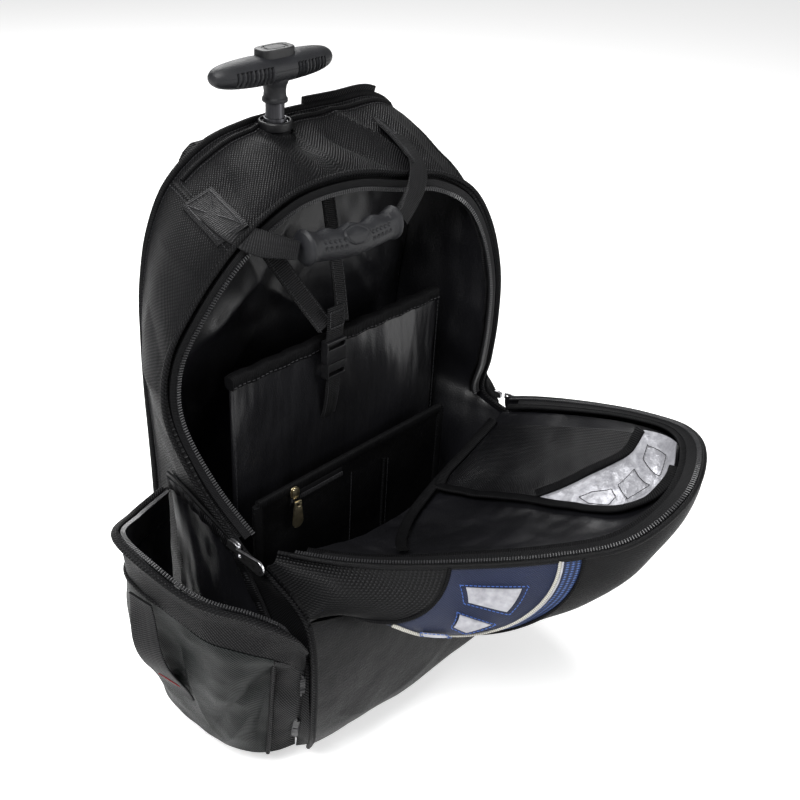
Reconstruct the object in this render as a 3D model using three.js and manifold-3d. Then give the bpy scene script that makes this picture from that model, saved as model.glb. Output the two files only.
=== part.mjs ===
// Wheeled backpack, standing on two rear wheels and a front skid foot, with its main
// flap unzipped and hanging forward and its left side pocket open.
// Millimetres, +Z up, +Y towards the back panel, +X to the right of someone facing the
// opening. The origin is the middle of the underside of the skid foot.
import * as THREE from 'three';
import { mergeVertices } from 'three/addons/utils/BufferGeometryUtils.js';
import Module from 'manifold-3d';

const wasm = await Module();
wasm.setup();

// Driving dimensions of the bag
const HALF_WIDTH = 160;        // half the width of the body at its opening
const BAG_HEIGHT = 466;        // top of the cloth above the floor
const BAG_DEPTH = 222;         // back panel to the front of the boot
const FOOT_TO_BACK = 180;      // skid foot centre to the back panel, along Y
const CLOTH = 2.6;             // coated nylon with its lining
const GAP = 0.4;               // clearance between sewn pieces
const GUSSET_SWELL = 7;        // how far the side and top walls bulge
const BOOT_SWELL = 8;          // how far the boot's front bulges
const BOOT_SAG = 30;           // how far the boot's top edge hangs in the middle
const TAPE_WIDTH = 9;          // zip tape beside an opening
const TAPE_THICK = 1.8;
const TAPE_INSET = 2;          // fold of cloth between an edge and its zip tape
const BACK_THICK = 5;          // stiffened back panel
const LINING_DEPTH = 30;       // back panel to the compartment's rear lining
const SEAM_ALLOWANCE = 3.5;    // side wall to the edge of a panel sewn between the walls
const PANEL_ABOVE_WELL = 6;    // wheel well to the lower edge of the back panel
const FLOOR_HEIGHT = 20.3;     // underside of the cloth floor

// Driving dimensions of the flap
const FLAP_REACH = 250;        // hinge line to tip, along Y
const FLAP_RISE = 80;          // hinge line to tip, upwards
const FLAP_DROP = 80;          // depth scale of the bowl that the flap forms
const FLAP_SAG = 34;           // sag of the lining inside the flap
const POCKET_LIFT = 14;        // mesh pocket above the flap's lining
const HINGE_FLAT = 0.12;       // share of the rim beside each hinge where the bowl is flat
const HINGE_EASE = 0.15;       // and the share over which it then grows

// Driving dimensions of the side pockets
const POCKET_OUT = 96;         // reach of the open left pocket from the side wall
const POCKET_LENGTH = 190;     // back to front along the side wall
const POCKET_HEIGHT = 198;     // floor of the pocket to its highest rim
const POCKET_BASE = 26;        // floor of both pockets above the ground
const POCKET_SWELL = 11;       // how far the left pocket's wall bulges
const POCKET_CREASE = 5;       // depth of the folds in it
const POCKET_FLARE = 1.6;      // how late the wall leans out on its way up
const POCKET_END = 0.975;      // where the wall stops short of its front seam
const BAND_SHARE = 0.8;        // panel height below the ribbed band, as a share
const CLOSED_POCKET_OUT = 44;
const CLOSED_POCKET_LENGTH = 138;
const CLOSED_POCKET_HEIGHT = 198;
const CLOSED_POCKET_AT = 0.47;   // its middle from the back panel, as a share of BAG_DEPTH
const CLOSED_POCKET_LEAN = 0.12; // how far its top leans back, as a share of BAG_DEPTH
const LOOP_WIDTH = 25;
const LOOP_LENGTH = 105;
const LOOP_LIFT = 11;          // how far the loop stands off the cloth in its middle
const LOOP_AT = 0.40;          // where it starts along the pocket's wall, as a share
const LOOP_SLANT = 0.08;       // how far it runs forward on its way down

// Driving dimensions of the inside
const SLEEVE_WIDTH = 241;
const SLEEVE_HEIGHT = 262;
const SLEEVE_THICK = 9;
const SLEEVE_TO_BACK = 84;     // back panel to the rear face of the sleeve
const SLEEVE_RISE = 20;        // compartment floor to the lower edge of the sleeve
const ORGANIZER_WIDTH = 225;
const ORGANIZER_HEIGHT = 178;
const ORGANIZER_TO_BACK = 114;
const WEBBING_THICK = 1.8;
const TIE_WEBBING = 16;
const TAB_LENGTH = 40;
const BUCKLE_LENGTH = 34;
const BUCKLE_WIDTH = 21;
const BUCKLE_THICK = 8;

// Driving dimensions of the carry handle and shoulder straps
const GRIP_LENGTH = 100;
const GRIP_RADIUS = 13;
const HANDLE_WEBBING = 25;
const HANDLE_STANDOFF = 5;
const SHOULDER_WIDTH = 72;
const SHOULDER_THICK = 13;
const SHOULDER_BELOW_TOP = 15; // top of the bag to the straps' upper ends
const LADDER_WIDTH = 34;
const LADDER_LENGTH = 24;
const LADDER_THICK = 6;
const LADDER_BAR = 4;          // bars of the ladder buckles
const TAIL_LENGTH = 40;        // webbing between a ladder buckle and the wheel wells
const TAIL_ABOVE_WELL = 12;

// Driving dimensions of the rolling gear
const WHEEL_RADIUS = 32;
const WHEEL_WIDTH = 24;
const TYRE_THICK = 7;
const AXLE_RADIUS = 4;
const WHEEL_INSET = 57;        // wheel centre from the side of the body
const WHEEL_BEHIND = 10;       // wheel centre in front of the back panel
const WELL_WALL = 3;
const WELL_CLEARANCE = 4;
const WELL_HEIGHT = 78;
const RUNNING_CLEARANCE = 0.5;
const FOOT_WIDTH = 110;
const FOOT_LENGTH = 26;
const TRAY_THICK = 3;
const KICK_HEIGHT = 62;

// Driving dimensions of the telescoping pole and its T grip
const POLE_BEHIND = 16.5;      // pole axis in front of the back panel
const POLE_BELOW_TOP = 1;      // top of the fixed tube below the top of the bag
const STEM_RADIUS = 7.5;
const TUBE_WALL = 1.2;
const TUBE_CLEARANCE = 0.4;
const COLLAR_RADIUS = 13.5;
const COLLAR_HEIGHT = 26;
const T_LENGTH = 120;
const GRIP_ABOVE_POLE = 42;    // middle of the grip above the top of the fixed tube
const T_RADIUS = 13.5;
const T_SWEEP = 5.4;           // how far the grip's ends are swept back
const NECK_LENGTH = 26;        // middle of the grip to the ring on its stem
const STAGE_STEP = 4;          // how far each stage of the pole stands off the next
const BUTTON_LENGTH = 33;
const BUTTON_WIDTH = 17;
const BUTTON_TRAVEL = 3;
const BUTTON_PROUD = 4;
const BUTTON_CORNER = 5;

// Driving dimensions of the zip hardware
const PULL_LENGTH = 34;
const PULL_WIDTH = 13;
const PULL_THICK = 2;
const SLIDER_LENGTH = 12;
const SLIDER_WIDTH = 9;
const SLIDER_THICK = 4;

const BACK_Y = FOOT_TO_BACK;
const WALL_STEP = CLOTH + GAP;
const poleTop = BAG_HEIGHT - POLE_BELOW_TOP;
const gripHeight = poleTop + GRIP_ABOVE_POLE;
const wheelX = HALF_WIDTH - WHEEL_INSET;
const UP = new THREE.Vector3(0, 0, 1);
const OUT = new THREE.Vector3(0, -1, 0);
const RIGHT = new THREE.Vector3(1, 0, 0);

// Materials, one for each finish
function finish(colour, roughness, metalness = 0) {
  return new THREE.MeshStandardMaterial({ color: colour, roughness, metalness });
}
const ribbedNylon = finish(0x1b1c20, 0.72);
const smoothNylon = finish(0x23252b, 0.55);
const satinLining = finish(0x15161c, 0.45);
const navyNylon = finish(0x1c2440, 0.6);
const greyNylon = finish(0x1d2224, 0.6);
const meshFabric = finish(0x111114, 0.85);
const silverFilm = finish(0xb9bcc0, 0.4, 0.2);
const webbing = finish(0x17181a, 0.8);
const zipTape = finish(0x121214, 0.7);
const blackPlastic = finish(0x1a1b1e, 0.45);
const softRubber = finish(0x222427, 0.7);
const bareSteel = finish(0xb4b6b8, 0.28, 1);
const brass = finish(0xa88f58, 0.3, 1);
const alloyTube = finish(0x2b2d31, 0.4, 0.6);

const group = new THREE.Group();
group.name = 'wheeled_backpack';

function add(name, geometry, material) {
  const mesh = new THREE.Mesh(geometry, material);
  mesh.name = name;
  group.add(mesh);
  return mesh;
}

// A closed body from points and triangles, turned so that its faces point out
function body(points, faces) {
  const at = index => points[index];
  let volume = 0;
  for (const [a, b, c] of faces) {
    volume += at(a).dot(new THREE.Vector3().crossVectors(at(b), at(c)));
  }
  const turned = volume < 0 ? faces.map(([a, b, c]) => [a, c, b]) : faces;
  const geometry = new THREE.BufferGeometry();
  const values = points.flatMap(point => [point.x, point.y, point.z]);
  geometry.setAttribute('position', new THREE.Float32BufferAttribute(values, 3));
  geometry.setIndex(turned.flat());
  geometry.computeVertexNormals();
  return geometry;
}

// A wall of even thickness on surface(u, v). side 1 grows it along the surface's own
// normal, side -1 against it, and side 0 to both.
function wall(surface, { u = [0, 1], v = [0, 1], steps, thickness = CLOTH, side = -1 }) {
  const [nu, nv] = steps;
  const points = [];
  const probe = 0.004;
  const clamp = value => Math.min(1, Math.max(0, value));
  for (const layer of [0, 1]) {
    for (let i = 0; i <= nu; i++) {
      for (let j = 0; j <= nv; j++) {
        const a = u[0] + (u[1] - u[0]) * i / nu;
        const b = v[0] + (v[1] - v[0]) * j / nv;
        const along = surface(clamp(a + probe), b).sub(surface(clamp(a - probe), b));
        const across = surface(a, clamp(b + probe)).sub(surface(a, clamp(b - probe)));
        const normal = along.cross(across).normalize();
        const shift = thickness * (side === 0 ? layer - 0.5 : layer * side);
        points.push(surface(a, b).addScaledVector(normal, shift));
      }
    }
  }
  const count = (nu + 1) * (nv + 1);
  const index = (layer, i, j) => layer * count + i * (nv + 1) + j;
  const faces = [];
  const quad = (a, b, c, d) => faces.push([a, b, c], [a, c, d]);
  for (let i = 0; i < nu; i++) {
    for (let j = 0; j < nv; j++) {
      quad(index(0, i, j), index(0, i + 1, j), index(0, i + 1, j + 1), index(0, i, j + 1));
      quad(index(1, i, j), index(1, i, j + 1), index(1, i + 1, j + 1), index(1, i + 1, j));
    }
  }
  for (let i = 0; i < nu; i++) {
    quad(index(0, i, 0), index(1, i, 0), index(1, i + 1, 0), index(0, i + 1, 0));
    quad(index(0, i, nv), index(0, i + 1, nv), index(1, i + 1, nv), index(1, i, nv));
  }
  for (let j = 0; j < nv; j++) {
    quad(index(0, 0, j), index(0, 0, j + 1), index(1, 0, j + 1), index(1, 0, j));
    quad(index(0, nu, j), index(1, nu, j), index(1, nu, j + 1), index(0, nu, j + 1));
  }
  return body(points, faces);
}

// A solid through closed rings of equal point count, with flat ends
function loft(rings) {
  const sides = rings[0].length;
  const points = rings.flat();
  const faces = [];
  for (let r = 0; r < rings.length - 1; r++) {
    for (let k = 0; k < sides; k++) {
      const a = r * sides + k;
      const b = r * sides + (k + 1) % sides;
      faces.push([a, b, b + sides], [a, b + sides, a + sides]);
    }
  }
  const last = (rings.length - 1) * sides;
  for (let k = 1; k < sides - 1; k++) {
    faces.push([0, k + 1, k], [last, last + k, last + k + 1]);
  }
  return body(points, faces);
}

// A flat band along a curve: its width lies along across(t), its thickness square to both
function band(path, across, width, thickness, steps) {
  const surface = (u, v) => path(u).addScaledVector(across(u), (v - 0.5) * width);
  return wall(surface, { steps: [steps, 1], thickness, side: 0 });
}

function box(size, centre) {
  const geometry = new THREE.BoxGeometry(...size);
  geometry.translate(...centre);
  return geometry;
}

// A cylinder along 'x', 'y' or 'z', centred on a point
function rod(radius, length, axis, centre, sides = 16) {
  const geometry = new THREE.CylinderGeometry(radius, radius, length, sides);
  if (axis === 'x') geometry.rotateZ(Math.PI / 2);
  if (axis === 'z') geometry.rotateX(Math.PI / 2);
  geometry.translate(...centre);
  return geometry;
}

// A ring with a square section round the Z axis
function pipe(inner, outer, bottom, top, centre, sides = 16) {
  const profile = [[inner, bottom], [outer, bottom], [outer, top], [inner, top], [inner, bottom]];
  const geometry = new THREE.LatheGeometry(profile.map(([r, z]) => new THREE.Vector2(r, z)), sides);
  geometry.rotateX(Math.PI / 2);
  geometry.translate(...centre);
  return geometry;
}

function solid(geometry) {
  const bare = geometry.clone();
  for (const name of Object.keys(bare.attributes)) {
    if (name !== 'position') bare.deleteAttribute(name);
  }
  const merged = mergeVertices(bare, 1e-4);
  return new wasm.Manifold(new wasm.Mesh({
    numProp: 3,
    vertProperties: new Float32Array(merged.attributes.position.array),
    triVerts: new Uint32Array(merged.index.array),
  }));
}

function shape(manifold) {
  const mesh = manifold.getMesh();
  const geometry = new THREE.BufferGeometry();
  geometry.setAttribute('position', new THREE.BufferAttribute(mesh.vertProperties, 3));
  geometry.setIndex(new THREE.BufferAttribute(mesh.triVerts, 1));
  geometry.computeVertexNormals();
  return geometry;
}

// The wall that runs up the left side, over the top and down the right side. Each row
// gives the sewn edge at the back panel and the free front edge. x is a share of
// HALF_WIDTH, z of BAG_HEIGHT, and depth of BAG_DEPTH measured from the back panel.
const GUSSET_ROWS = [
  { backX: -0.781, backZ: 0.045, x: -0.831, depth: 0.910, z: 0.034 },
  { backX: -0.781, backZ: 0.172, x: -0.925, depth: 1.000, z: 0.129 },
  { backX: -0.781, backZ: 0.330, x: -0.950, depth: 0.985, z: 0.372 },
  { backX: -0.781, backZ: 0.402, x: -0.944, depth: 0.820, z: 0.410 },
  { backX: -0.781, backZ: 0.472, x: -0.938, depth: 0.640, z: 0.433 },
  { backX: -0.781, backZ: 0.569, x: -1.013, depth: 0.491, z: 0.528 },
  { backX: -0.775, backZ: 0.676, x: -1.050, depth: 0.383, z: 0.635 },
  { backX: -0.756, backZ: 0.773, x: -1.013, depth: 0.369, z: 0.721 },
  { backX: -0.700, backZ: 0.858, x: -0.894, depth: 0.396, z: 0.803 },
  { backX: -0.588, backZ: 0.929, x: -0.706, depth: 0.428, z: 0.884 },
  { backX: -0.388, backZ: 0.976, x: -0.450, depth: 0.405, z: 0.923 },
  { backX: -0.125, backZ: 0.994, x: -0.188, depth: 0.374, z: 0.938 },
  { backX: 0.188, backZ: 1.000, x: 0.175, depth: 0.365, z: 0.933 },
  { backX: 0.500, backZ: 0.996, x: 0.488, depth: 0.378, z: 0.908 },
  { backX: 0.763, backZ: 0.990, x: 0.744, depth: 0.410, z: 0.890 },
  { backX: 0.919, backZ: 0.955, x: 0.919, depth: 0.459, z: 0.853 },
  { backX: 0.938, backZ: 0.878, x: 1.013, depth: 0.505, z: 0.790 },
  { backX: 0.888, backZ: 0.760, x: 1.031, depth: 0.563, z: 0.697 },
  { backX: 0.813, backZ: 0.633, x: 1.013, depth: 0.586, z: 0.601 },
  { backX: 0.788, backZ: 0.536, x: 1.000, depth: 0.581, z: 0.515 },
  { backX: 0.781, backZ: 0.472, x: 1.000, depth: 0.563, z: 0.436 },
  { backX: 0.781, backZ: 0.402, x: 0.988, depth: 0.790, z: 0.410 },
  { backX: 0.781, backZ: 0.330, x: 0.963, depth: 0.985, z: 0.372 },
  { backX: 0.781, backZ: 0.172, x: 0.938, depth: 1.000, z: 0.129 },
  { backX: 0.781, backZ: 0.045, x: 0.844, depth: 0.910, z: 0.034 },
];
const LAST_ROW = GUSSET_ROWS.length - 1;
const BOOT_ROW = 2;            // row where the boot's front ends
const HINGE_ROW = 4;           // row where the zip starts on the left
const atRow = row => row / LAST_ROW;

// Dents in the top of the bag: where along and across the wall, how deep, how wide
const DENTS = [
  { along: 0.515, across: 0.45, depth: 9, reachAlong: 0.045, reachAcross: 0.35 },
  { along: 0.400, across: 0.55, depth: 6, reachAlong: 0.035, reachAcross: 0.40 },
  { along: 0.600, across: 0.60, depth: 5, reachAlong: 0.030, reachAcross: 0.40 },
];

const backCurve = new THREE.CatmullRomCurve3(GUSSET_ROWS.map(row =>
  new THREE.Vector3(row.backX * HALF_WIDTH, BACK_Y, row.backZ * BAG_HEIGHT)));
const frontCurve = new THREE.CatmullRomCurve3(GUSSET_ROWS.map(row =>
  new THREE.Vector3(row.x * HALF_WIDTH, BACK_Y - row.depth * BAG_DEPTH, row.z * BAG_HEIGHT)));

function awayFromMiddle(point) {
  return new THREE.Vector3(point.x, 0, point.z - BAG_HEIGHT / 2).normalize();
}

function gusset(along, across) {
  const back = backCurve.getPoint(along);
  const point = back.clone().lerp(frontCurve.getPoint(along), across);
  let swell = GUSSET_SWELL * 4 * across * (1 - across);
  for (const dent of DENTS) {
    const a = (along - dent.along) / dent.reachAlong;
    const b = (across - dent.across) / dent.reachAcross;
    swell -= dent.depth * Math.exp(-a * a - b * b);
  }
  return point.addScaledVector(awayFromMiddle(back), swell);
}

// Wheel wells and the pole's exit are cut out of the cloth
const wheelY = BACK_Y - WHEEL_BEHIND;
const wellInner = wheelX - WHEEL_WIDTH / 2 - WELL_CLEARANCE - WELL_WALL;
const wellOuter = wheelX + WHEEL_WIDTH / 2 + WELL_CLEARANCE + WELL_WALL;
const wellFront = wheelY - WHEEL_RADIUS - WELL_CLEARANCE - WELL_WALL;
const wellBottom = FLOOR_HEIGHT - TRAY_THICK - GAP;
const poleY = BACK_Y - POLE_BEHIND;
const CUT_MARGIN = 60;

function wellCutter(sign) {
  const width = wellOuter - wellInner + CUT_MARGIN;
  const depth = BACK_Y - wellFront + CUT_MARGIN;
  const x = sign * (wellInner - GAP + width / 2);
  const y = wellFront - GAP + depth / 2;
  const height = WELL_HEIGHT + GAP + CUT_MARGIN;
  return solid(box([width, depth, height], [x, y, WELL_HEIGHT + GAP - height / 2]));
}

const collarBottom = poleTop - COLLAR_HEIGHT;
const collarHole = solid(rod(COLLAR_RADIUS + GAP, 2 * CUT_MARGIN, 'z',
  [0, poleY, collarBottom - GAP + CUT_MARGIN]));
const gussetCloth = wall(gusset, { steps: [52, 4], side: 1 });
add('main_gusset',
  shape(solid(gussetCloth).subtract(wellCutter(1)).subtract(wellCutter(-1)).subtract(collarHole)),
  ribbedNylon);

// Zip tape turned inwards from the front edge, from slider to slider
function openingTape(along, across) {
  const row = atRow(HINGE_ROW) + (1 - 2 * atRow(HINGE_ROW)) * along;
  const edge = frontCurve.getPoint(row);
  const inwards = awayFromMiddle(edge).multiplyScalar(-1);
  return edge.addScaledVector(inwards, WALL_STEP + TAPE_INSET + across * TAPE_WIDTH);
}
add('opening_zip_tape', wall(openingTape, {
  steps: [32, 1], thickness: TAPE_THICK, side: 0,
}), zipTape);

// The boot's front, sewn between the two side walls below the flap
function boot(across, up) {
  const left = frontCurve.getPoint(atRow(BOOT_ROW) * up);
  const right = frontCurve.getPoint(1 - atRow(BOOT_ROW) * up);
  const swell = BOOT_SWELL * (1 - (2 * across - 1) ** 4);
  const sag = BOOT_SAG * up * Math.sin(Math.PI * across);
  return left.lerp(right, across).addScaledVector(OUT, swell).addScaledVector(UP, -sag);
}
const bootInset = (WALL_STEP + SEAM_ALLOWANCE) / (2 * HALF_WIDTH);
add('boot_front', wall(boot, {
  u: [bootInset, 1 - bootInset], steps: [16, 4], side: -1,
}), smoothNylon);

// The closed outline of the bag's inside, a given distance in front of the back panel
function outlineAt(distance, inset, lowest) {
  const points = [];
  const samples = 40;
  for (let i = 0; i <= samples; i++) {
    const along = i / samples;
    const depth = BACK_Y - frontCurve.getPoint(along).y;
    const point = gusset(along, distance / depth);
    point.addScaledVector(awayFromMiddle(point), -inset);
    if (point.z > lowest) points.push(new THREE.Vector2(point.x, point.z));
  }
  const first = points[0];
  const last = points[points.length - 1];
  points.unshift(new THREE.Vector2(first.x, lowest));
  points.push(new THREE.Vector2(last.x, lowest));
  return new THREE.Shape(points);
}

function upright(outline, thickness, y) {
  const geometry = new THREE.ExtrudeGeometry(outline, { depth: thickness, bevelEnabled: false });
  geometry.rotateX(Math.PI / 2);
  geometry.translate(0, y, 0);
  return geometry;
}

// Back panel behind the pole, and the compartment's rear lining in front of it
const sewnInset = CLOTH + 2 * GAP + SEAM_ALLOWANCE;
const backPanel = upright(outlineAt(BACK_THICK / 2, sewnInset, WELL_HEIGHT + PANEL_ABOVE_WELL),
  BACK_THICK, BACK_Y);
add('back_panel', shape(solid(backPanel).subtract(collarHole)), smoothNylon);
const liningY = BACK_Y - LINING_DEPTH;
const lining = upright(outlineAt(LINING_DEPTH + CLOTH / 2, sewnInset, FLOOR_HEIGHT + CLOTH + GAP),
  CLOTH, liningY);
add('rear_lining',
  shape(solid(lining).subtract(wellCutter(1)).subtract(wellCutter(-1)).subtract(collarHole)),
  satinLining);

// Cloth floor and the plastic tray under it, with its kick plate between the wheels
const floorBack = BACK_Y - BACK_THICK - 2 * GAP;
function floorOutline(inset) {
  const sides = [gusset(0, 1), gusset(0, 0), gusset(1, 0), gusset(1, 1)];
  const points = sides.map((point, i) => new THREE.Vector2(
    point.x - Math.sign(point.x) * inset, i === 1 || i === 2 ? floorBack : point.y + inset));
  for (let i = 9; i >= 1; i--) {
    const point = boot(i / 10, 0);
    points.push(new THREE.Vector2(point.x, point.y + inset));
  }
  return new THREE.Shape(points);
}
function floorPlate(inset, bottom, thickness) {
  const geometry = new THREE.ExtrudeGeometry(floorOutline(inset), {
    depth: thickness, bevelEnabled: false,
  });
  geometry.translate(0, 0, bottom);
  return solid(geometry).subtract(wellCutter(1)).subtract(wellCutter(-1));
}
const floorInset = 1.6 * WALL_STEP;
add('floor_panel', shape(floorPlate(floorInset, FLOOR_HEIGHT, CLOTH)), smoothNylon);
const trayBottom = FLOOR_HEIGHT - GAP - TRAY_THICK;
const kickHalf = wellInner - 2 * GAP;
const kick = solid(box([2 * kickHalf, TRAY_THICK + BACK_THICK + 4 * GAP, KICK_HEIGHT],
  [0, BACK_Y + TRAY_THICK - (TRAY_THICK + BACK_THICK + 4 * GAP) / 2, trayBottom + KICK_HEIGHT / 2]));
const kickRelief = solid(box([2 * kickHalf + 2, BACK_THICK + 8 * GAP, KICK_HEIGHT],
  [0, BACK_Y - (BACK_THICK + 8 * GAP) / 2, trayBottom + TRAY_THICK + KICK_HEIGHT / 2]));
add('base_tray', shape(floorPlate(floorInset, trayBottom, TRAY_THICK).add(kick.subtract(kickRelief))),
  blackPlastic);

// Skid foot under the front of the tray
const footTop = trayBottom - GAP;
const footRings = [[0, 0.86], [footTop * 0.25, 1], [footTop, 1]].map(([z, share]) => {
  const halfX = FOOT_WIDTH / 2 * share;
  const halfY = FOOT_LENGTH / 2 * share;
  return [[-1, -1], [1, -1], [1, 1], [-1, 1]].map(([x, y]) =>
    new THREE.Vector3(x * halfX, y * halfY, z));
});
add('skid_foot', loft(footRings), blackPlastic);

// Wheel wells: plastic corner housings, open below and behind
function addWheel(side, sign) {
  const x = sign * wheelX;
  const width = wellOuter - wellInner;
  const back = BACK_Y + TRAY_THICK;
  const depth = back - wellFront;
  const outer = solid(box([width, depth, WELL_HEIGHT - wellBottom],
    [x, (back + wellFront) / 2, (WELL_HEIGHT + wellBottom) / 2]));
  const innerDepth = depth - WELL_WALL + CUT_MARGIN;
  const innerHeight = WELL_HEIGHT - WELL_WALL + CUT_MARGIN;
  const inner = solid(box([width - 2 * WELL_WALL, innerDepth, innerHeight],
    [x, wellFront + WELL_WALL + innerDepth / 2, WELL_HEIGHT - WELL_WALL - innerHeight / 2]));
  add(`wheel_well_${side}`, shape(outer.subtract(inner)), blackPlastic);

  const centre = [x, wheelY, WHEEL_RADIUS];
  const span = width - 2 * WELL_WALL - 2 * GAP;
  add(`axle_${side}`, rod(AXLE_RADIUS, span, 'x', centre, 16), bareSteel);

  const rim = WHEEL_RADIUS - TYRE_THICK;
  const bore = AXLE_RADIUS + RUNNING_CLEARANCE;
  const half = WHEEL_WIDTH / 2;
  const tyreProfile = [
    [rim, -0.84 * half], [WHEEL_RADIUS - 3, -half], [WHEEL_RADIUS, -0.62 * half],
    [WHEEL_RADIUS, 0.62 * half], [WHEEL_RADIUS - 3, half], [rim, 0.84 * half], [rim, -0.84 * half],
  ];
  const hubProfile = [
    [bore, -0.8 * half], [bore + 5, -0.8 * half], [bore + 7, -0.4 * half], [rim - 5, -0.4 * half],
    [rim - GAP, -0.78 * half], [rim - GAP, 0.78 * half], [rim - 5, 0.4 * half],
    [bore + 7, 0.4 * half], [bore + 5, 0.8 * half], [bore, 0.8 * half], [bore, -0.8 * half],
  ];
  for (const [name, profile, material] of [
    [`tyre_${side}`, tyreProfile, softRubber], [`wheel_hub_${side}`, hubProfile, blackPlastic]]) {
    const ring = new THREE.LatheGeometry(profile.map(([r, a]) => new THREE.Vector2(r, a)), 20);
    ring.rotateZ(Math.PI / 2);
    ring.translate(...centre);
    add(name, ring, material);
  }
}
addWheel('left', -1);
addWheel('right', 1);

// Telescoping pole: fixed tube, middle stage and the stem that carries the grip
const stemInner = STEM_RADIUS - TUBE_WALL;
const middleInner = STEM_RADIUS + TUBE_CLEARANCE;
const middleOuter = middleInner + TUBE_WALL;
const fixedInner = middleOuter + TUBE_CLEARANCE;
const fixedOuter = fixedInner + TUBE_WALL;
const poleBottom = FLOOR_HEIGHT + CLOTH + 2 * GAP;
const poleFoot = [0, poleY, 0];
add('pole_fixed_tube', pipe(fixedInner, fixedOuter, poleBottom, poleTop, poleFoot), alloyTube);
add('pole_middle_tube',
  pipe(middleInner, middleOuter, poleBottom + STAGE_STEP, poleTop + STAGE_STEP, poleFoot),
  alloyTube);
add('pole_collar',
  pipe(fixedOuter + GAP, COLLAR_RADIUS, collarBottom, poleTop + 2, poleFoot), blackPlastic);

// T grip: a bar swept back at its ends, on a flared neck. Each row gives the distance
// from the middle as a share of half the length, and the section as a share of T_RADIUS.
const T_ROWS = [
  { at: 0.00, wide: 1.06, tall: 0.86, back: 0.00 },
  { at: 0.25, wide: 1.04, tall: 0.84, back: 0.01 },
  { at: 0.50, wide: 0.98, tall: 0.80, back: 0.10 },
  { at: 0.72, wide: 0.86, tall: 0.72, back: 0.24 },
  { at: 0.88, wide: 0.68, tall: 0.58, back: 0.38 },
  { at: 0.97, wide: 0.42, tall: 0.36, back: 0.46 },
  { at: 1.00, wide: 0.16, tall: 0.14, back: 0.50 },
];
function ellipse(x, y, z, halfY, halfZ, sides = 12) {
  return Array.from({ length: sides }, (_, k) => {
    const angle = 2 * Math.PI * k / sides;
    return new THREE.Vector3(x, y + halfY * Math.cos(angle), z + halfZ * Math.sin(angle));
  });
}
const mirroredRows = T_ROWS.slice(1).reverse().map(row => ({ ...row, at: -row.at }));
const tRings = [...mirroredRows, ...T_ROWS].map(row =>
  ellipse(row.at * T_LENGTH / 2, poleY + row.back * T_SWEEP, gripHeight,
    row.wide * T_RADIUS, row.tall * T_RADIUS));
const NECK_ROWS = [
  { below: 1.00, radius: 1.35 },
  { below: 0.70, radius: 1.20 },
  { below: 0.35, radius: 1.47 },
  { below: 0.00, radius: 1.67 },
];
const neckProfile = [
  new THREE.Vector2(0, gripHeight - NECK_LENGTH),
  ...NECK_ROWS.map(row =>
    new THREE.Vector2(row.radius * STEM_RADIUS, gripHeight - row.below * NECK_LENGTH)),
  new THREE.Vector2(0, gripHeight),
];
const neck = new THREE.LatheGeometry(neckProfile, 20);
neck.rotateX(Math.PI / 2);
neck.translate(...poleFoot);
const buttonFloor = gripHeight + 0.3 * T_RADIUS;
const buttonPocket = solid(box([BUTTON_LENGTH + 1, BUTTON_WIDTH + 1, 2 * T_RADIUS],
  [0, poleY, buttonFloor + T_RADIUS]));
const stemBottom = poleBottom + 2 * STAGE_STEP;
const stemTop = gripHeight - NECK_LENGTH - GAP;
const stem = solid(rod(STEM_RADIUS, stemTop - stemBottom, 'z', [0, poleY, (stemTop + stemBottom) / 2]));
const stemBore = solid(rod(stemInner, poleTop - poleBottom, 'z',
  [0, poleY, (poleTop + poleBottom) / 2]));
add('grip_stem', shape(stem.subtract(stemBore)), alloyTube);
add('t_grip', shape(solid(loft(tRings)).add(solid(neck)).subtract(buttonPocket)), softRubber);

// Release button on top of the grip, clear of its pocket by the button's travel
const buttonOutline = new THREE.Shape();
buttonOutline.absarc(BUTTON_LENGTH / 2 - BUTTON_CORNER, BUTTON_WIDTH / 2 - BUTTON_CORNER,
  BUTTON_CORNER, 0, Math.PI / 2);
buttonOutline.absarc(-BUTTON_LENGTH / 2 + BUTTON_CORNER, BUTTON_WIDTH / 2 - BUTTON_CORNER,
  BUTTON_CORNER, Math.PI / 2, Math.PI);
buttonOutline.absarc(-BUTTON_LENGTH / 2 + BUTTON_CORNER, -BUTTON_WIDTH / 2 + BUTTON_CORNER,
  BUTTON_CORNER, Math.PI, 1.5 * Math.PI);
buttonOutline.absarc(BUTTON_LENGTH / 2 - BUTTON_CORNER, -BUTTON_WIDTH / 2 + BUTTON_CORNER,
  BUTTON_CORNER, 1.5 * Math.PI, 2 * Math.PI);
const buttonHeight = 0.56 * T_RADIUS - GAP + BUTTON_PROUD - BUTTON_TRAVEL;
const button = new THREE.ExtrudeGeometry(buttonOutline, {
  depth: buttonHeight, bevelEnabled: false, curveSegments: 4,
});
button.translate(0, poleY, buttonFloor + BUTTON_TRAVEL + GAP);
add('release_button', button, blackPlastic);

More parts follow.
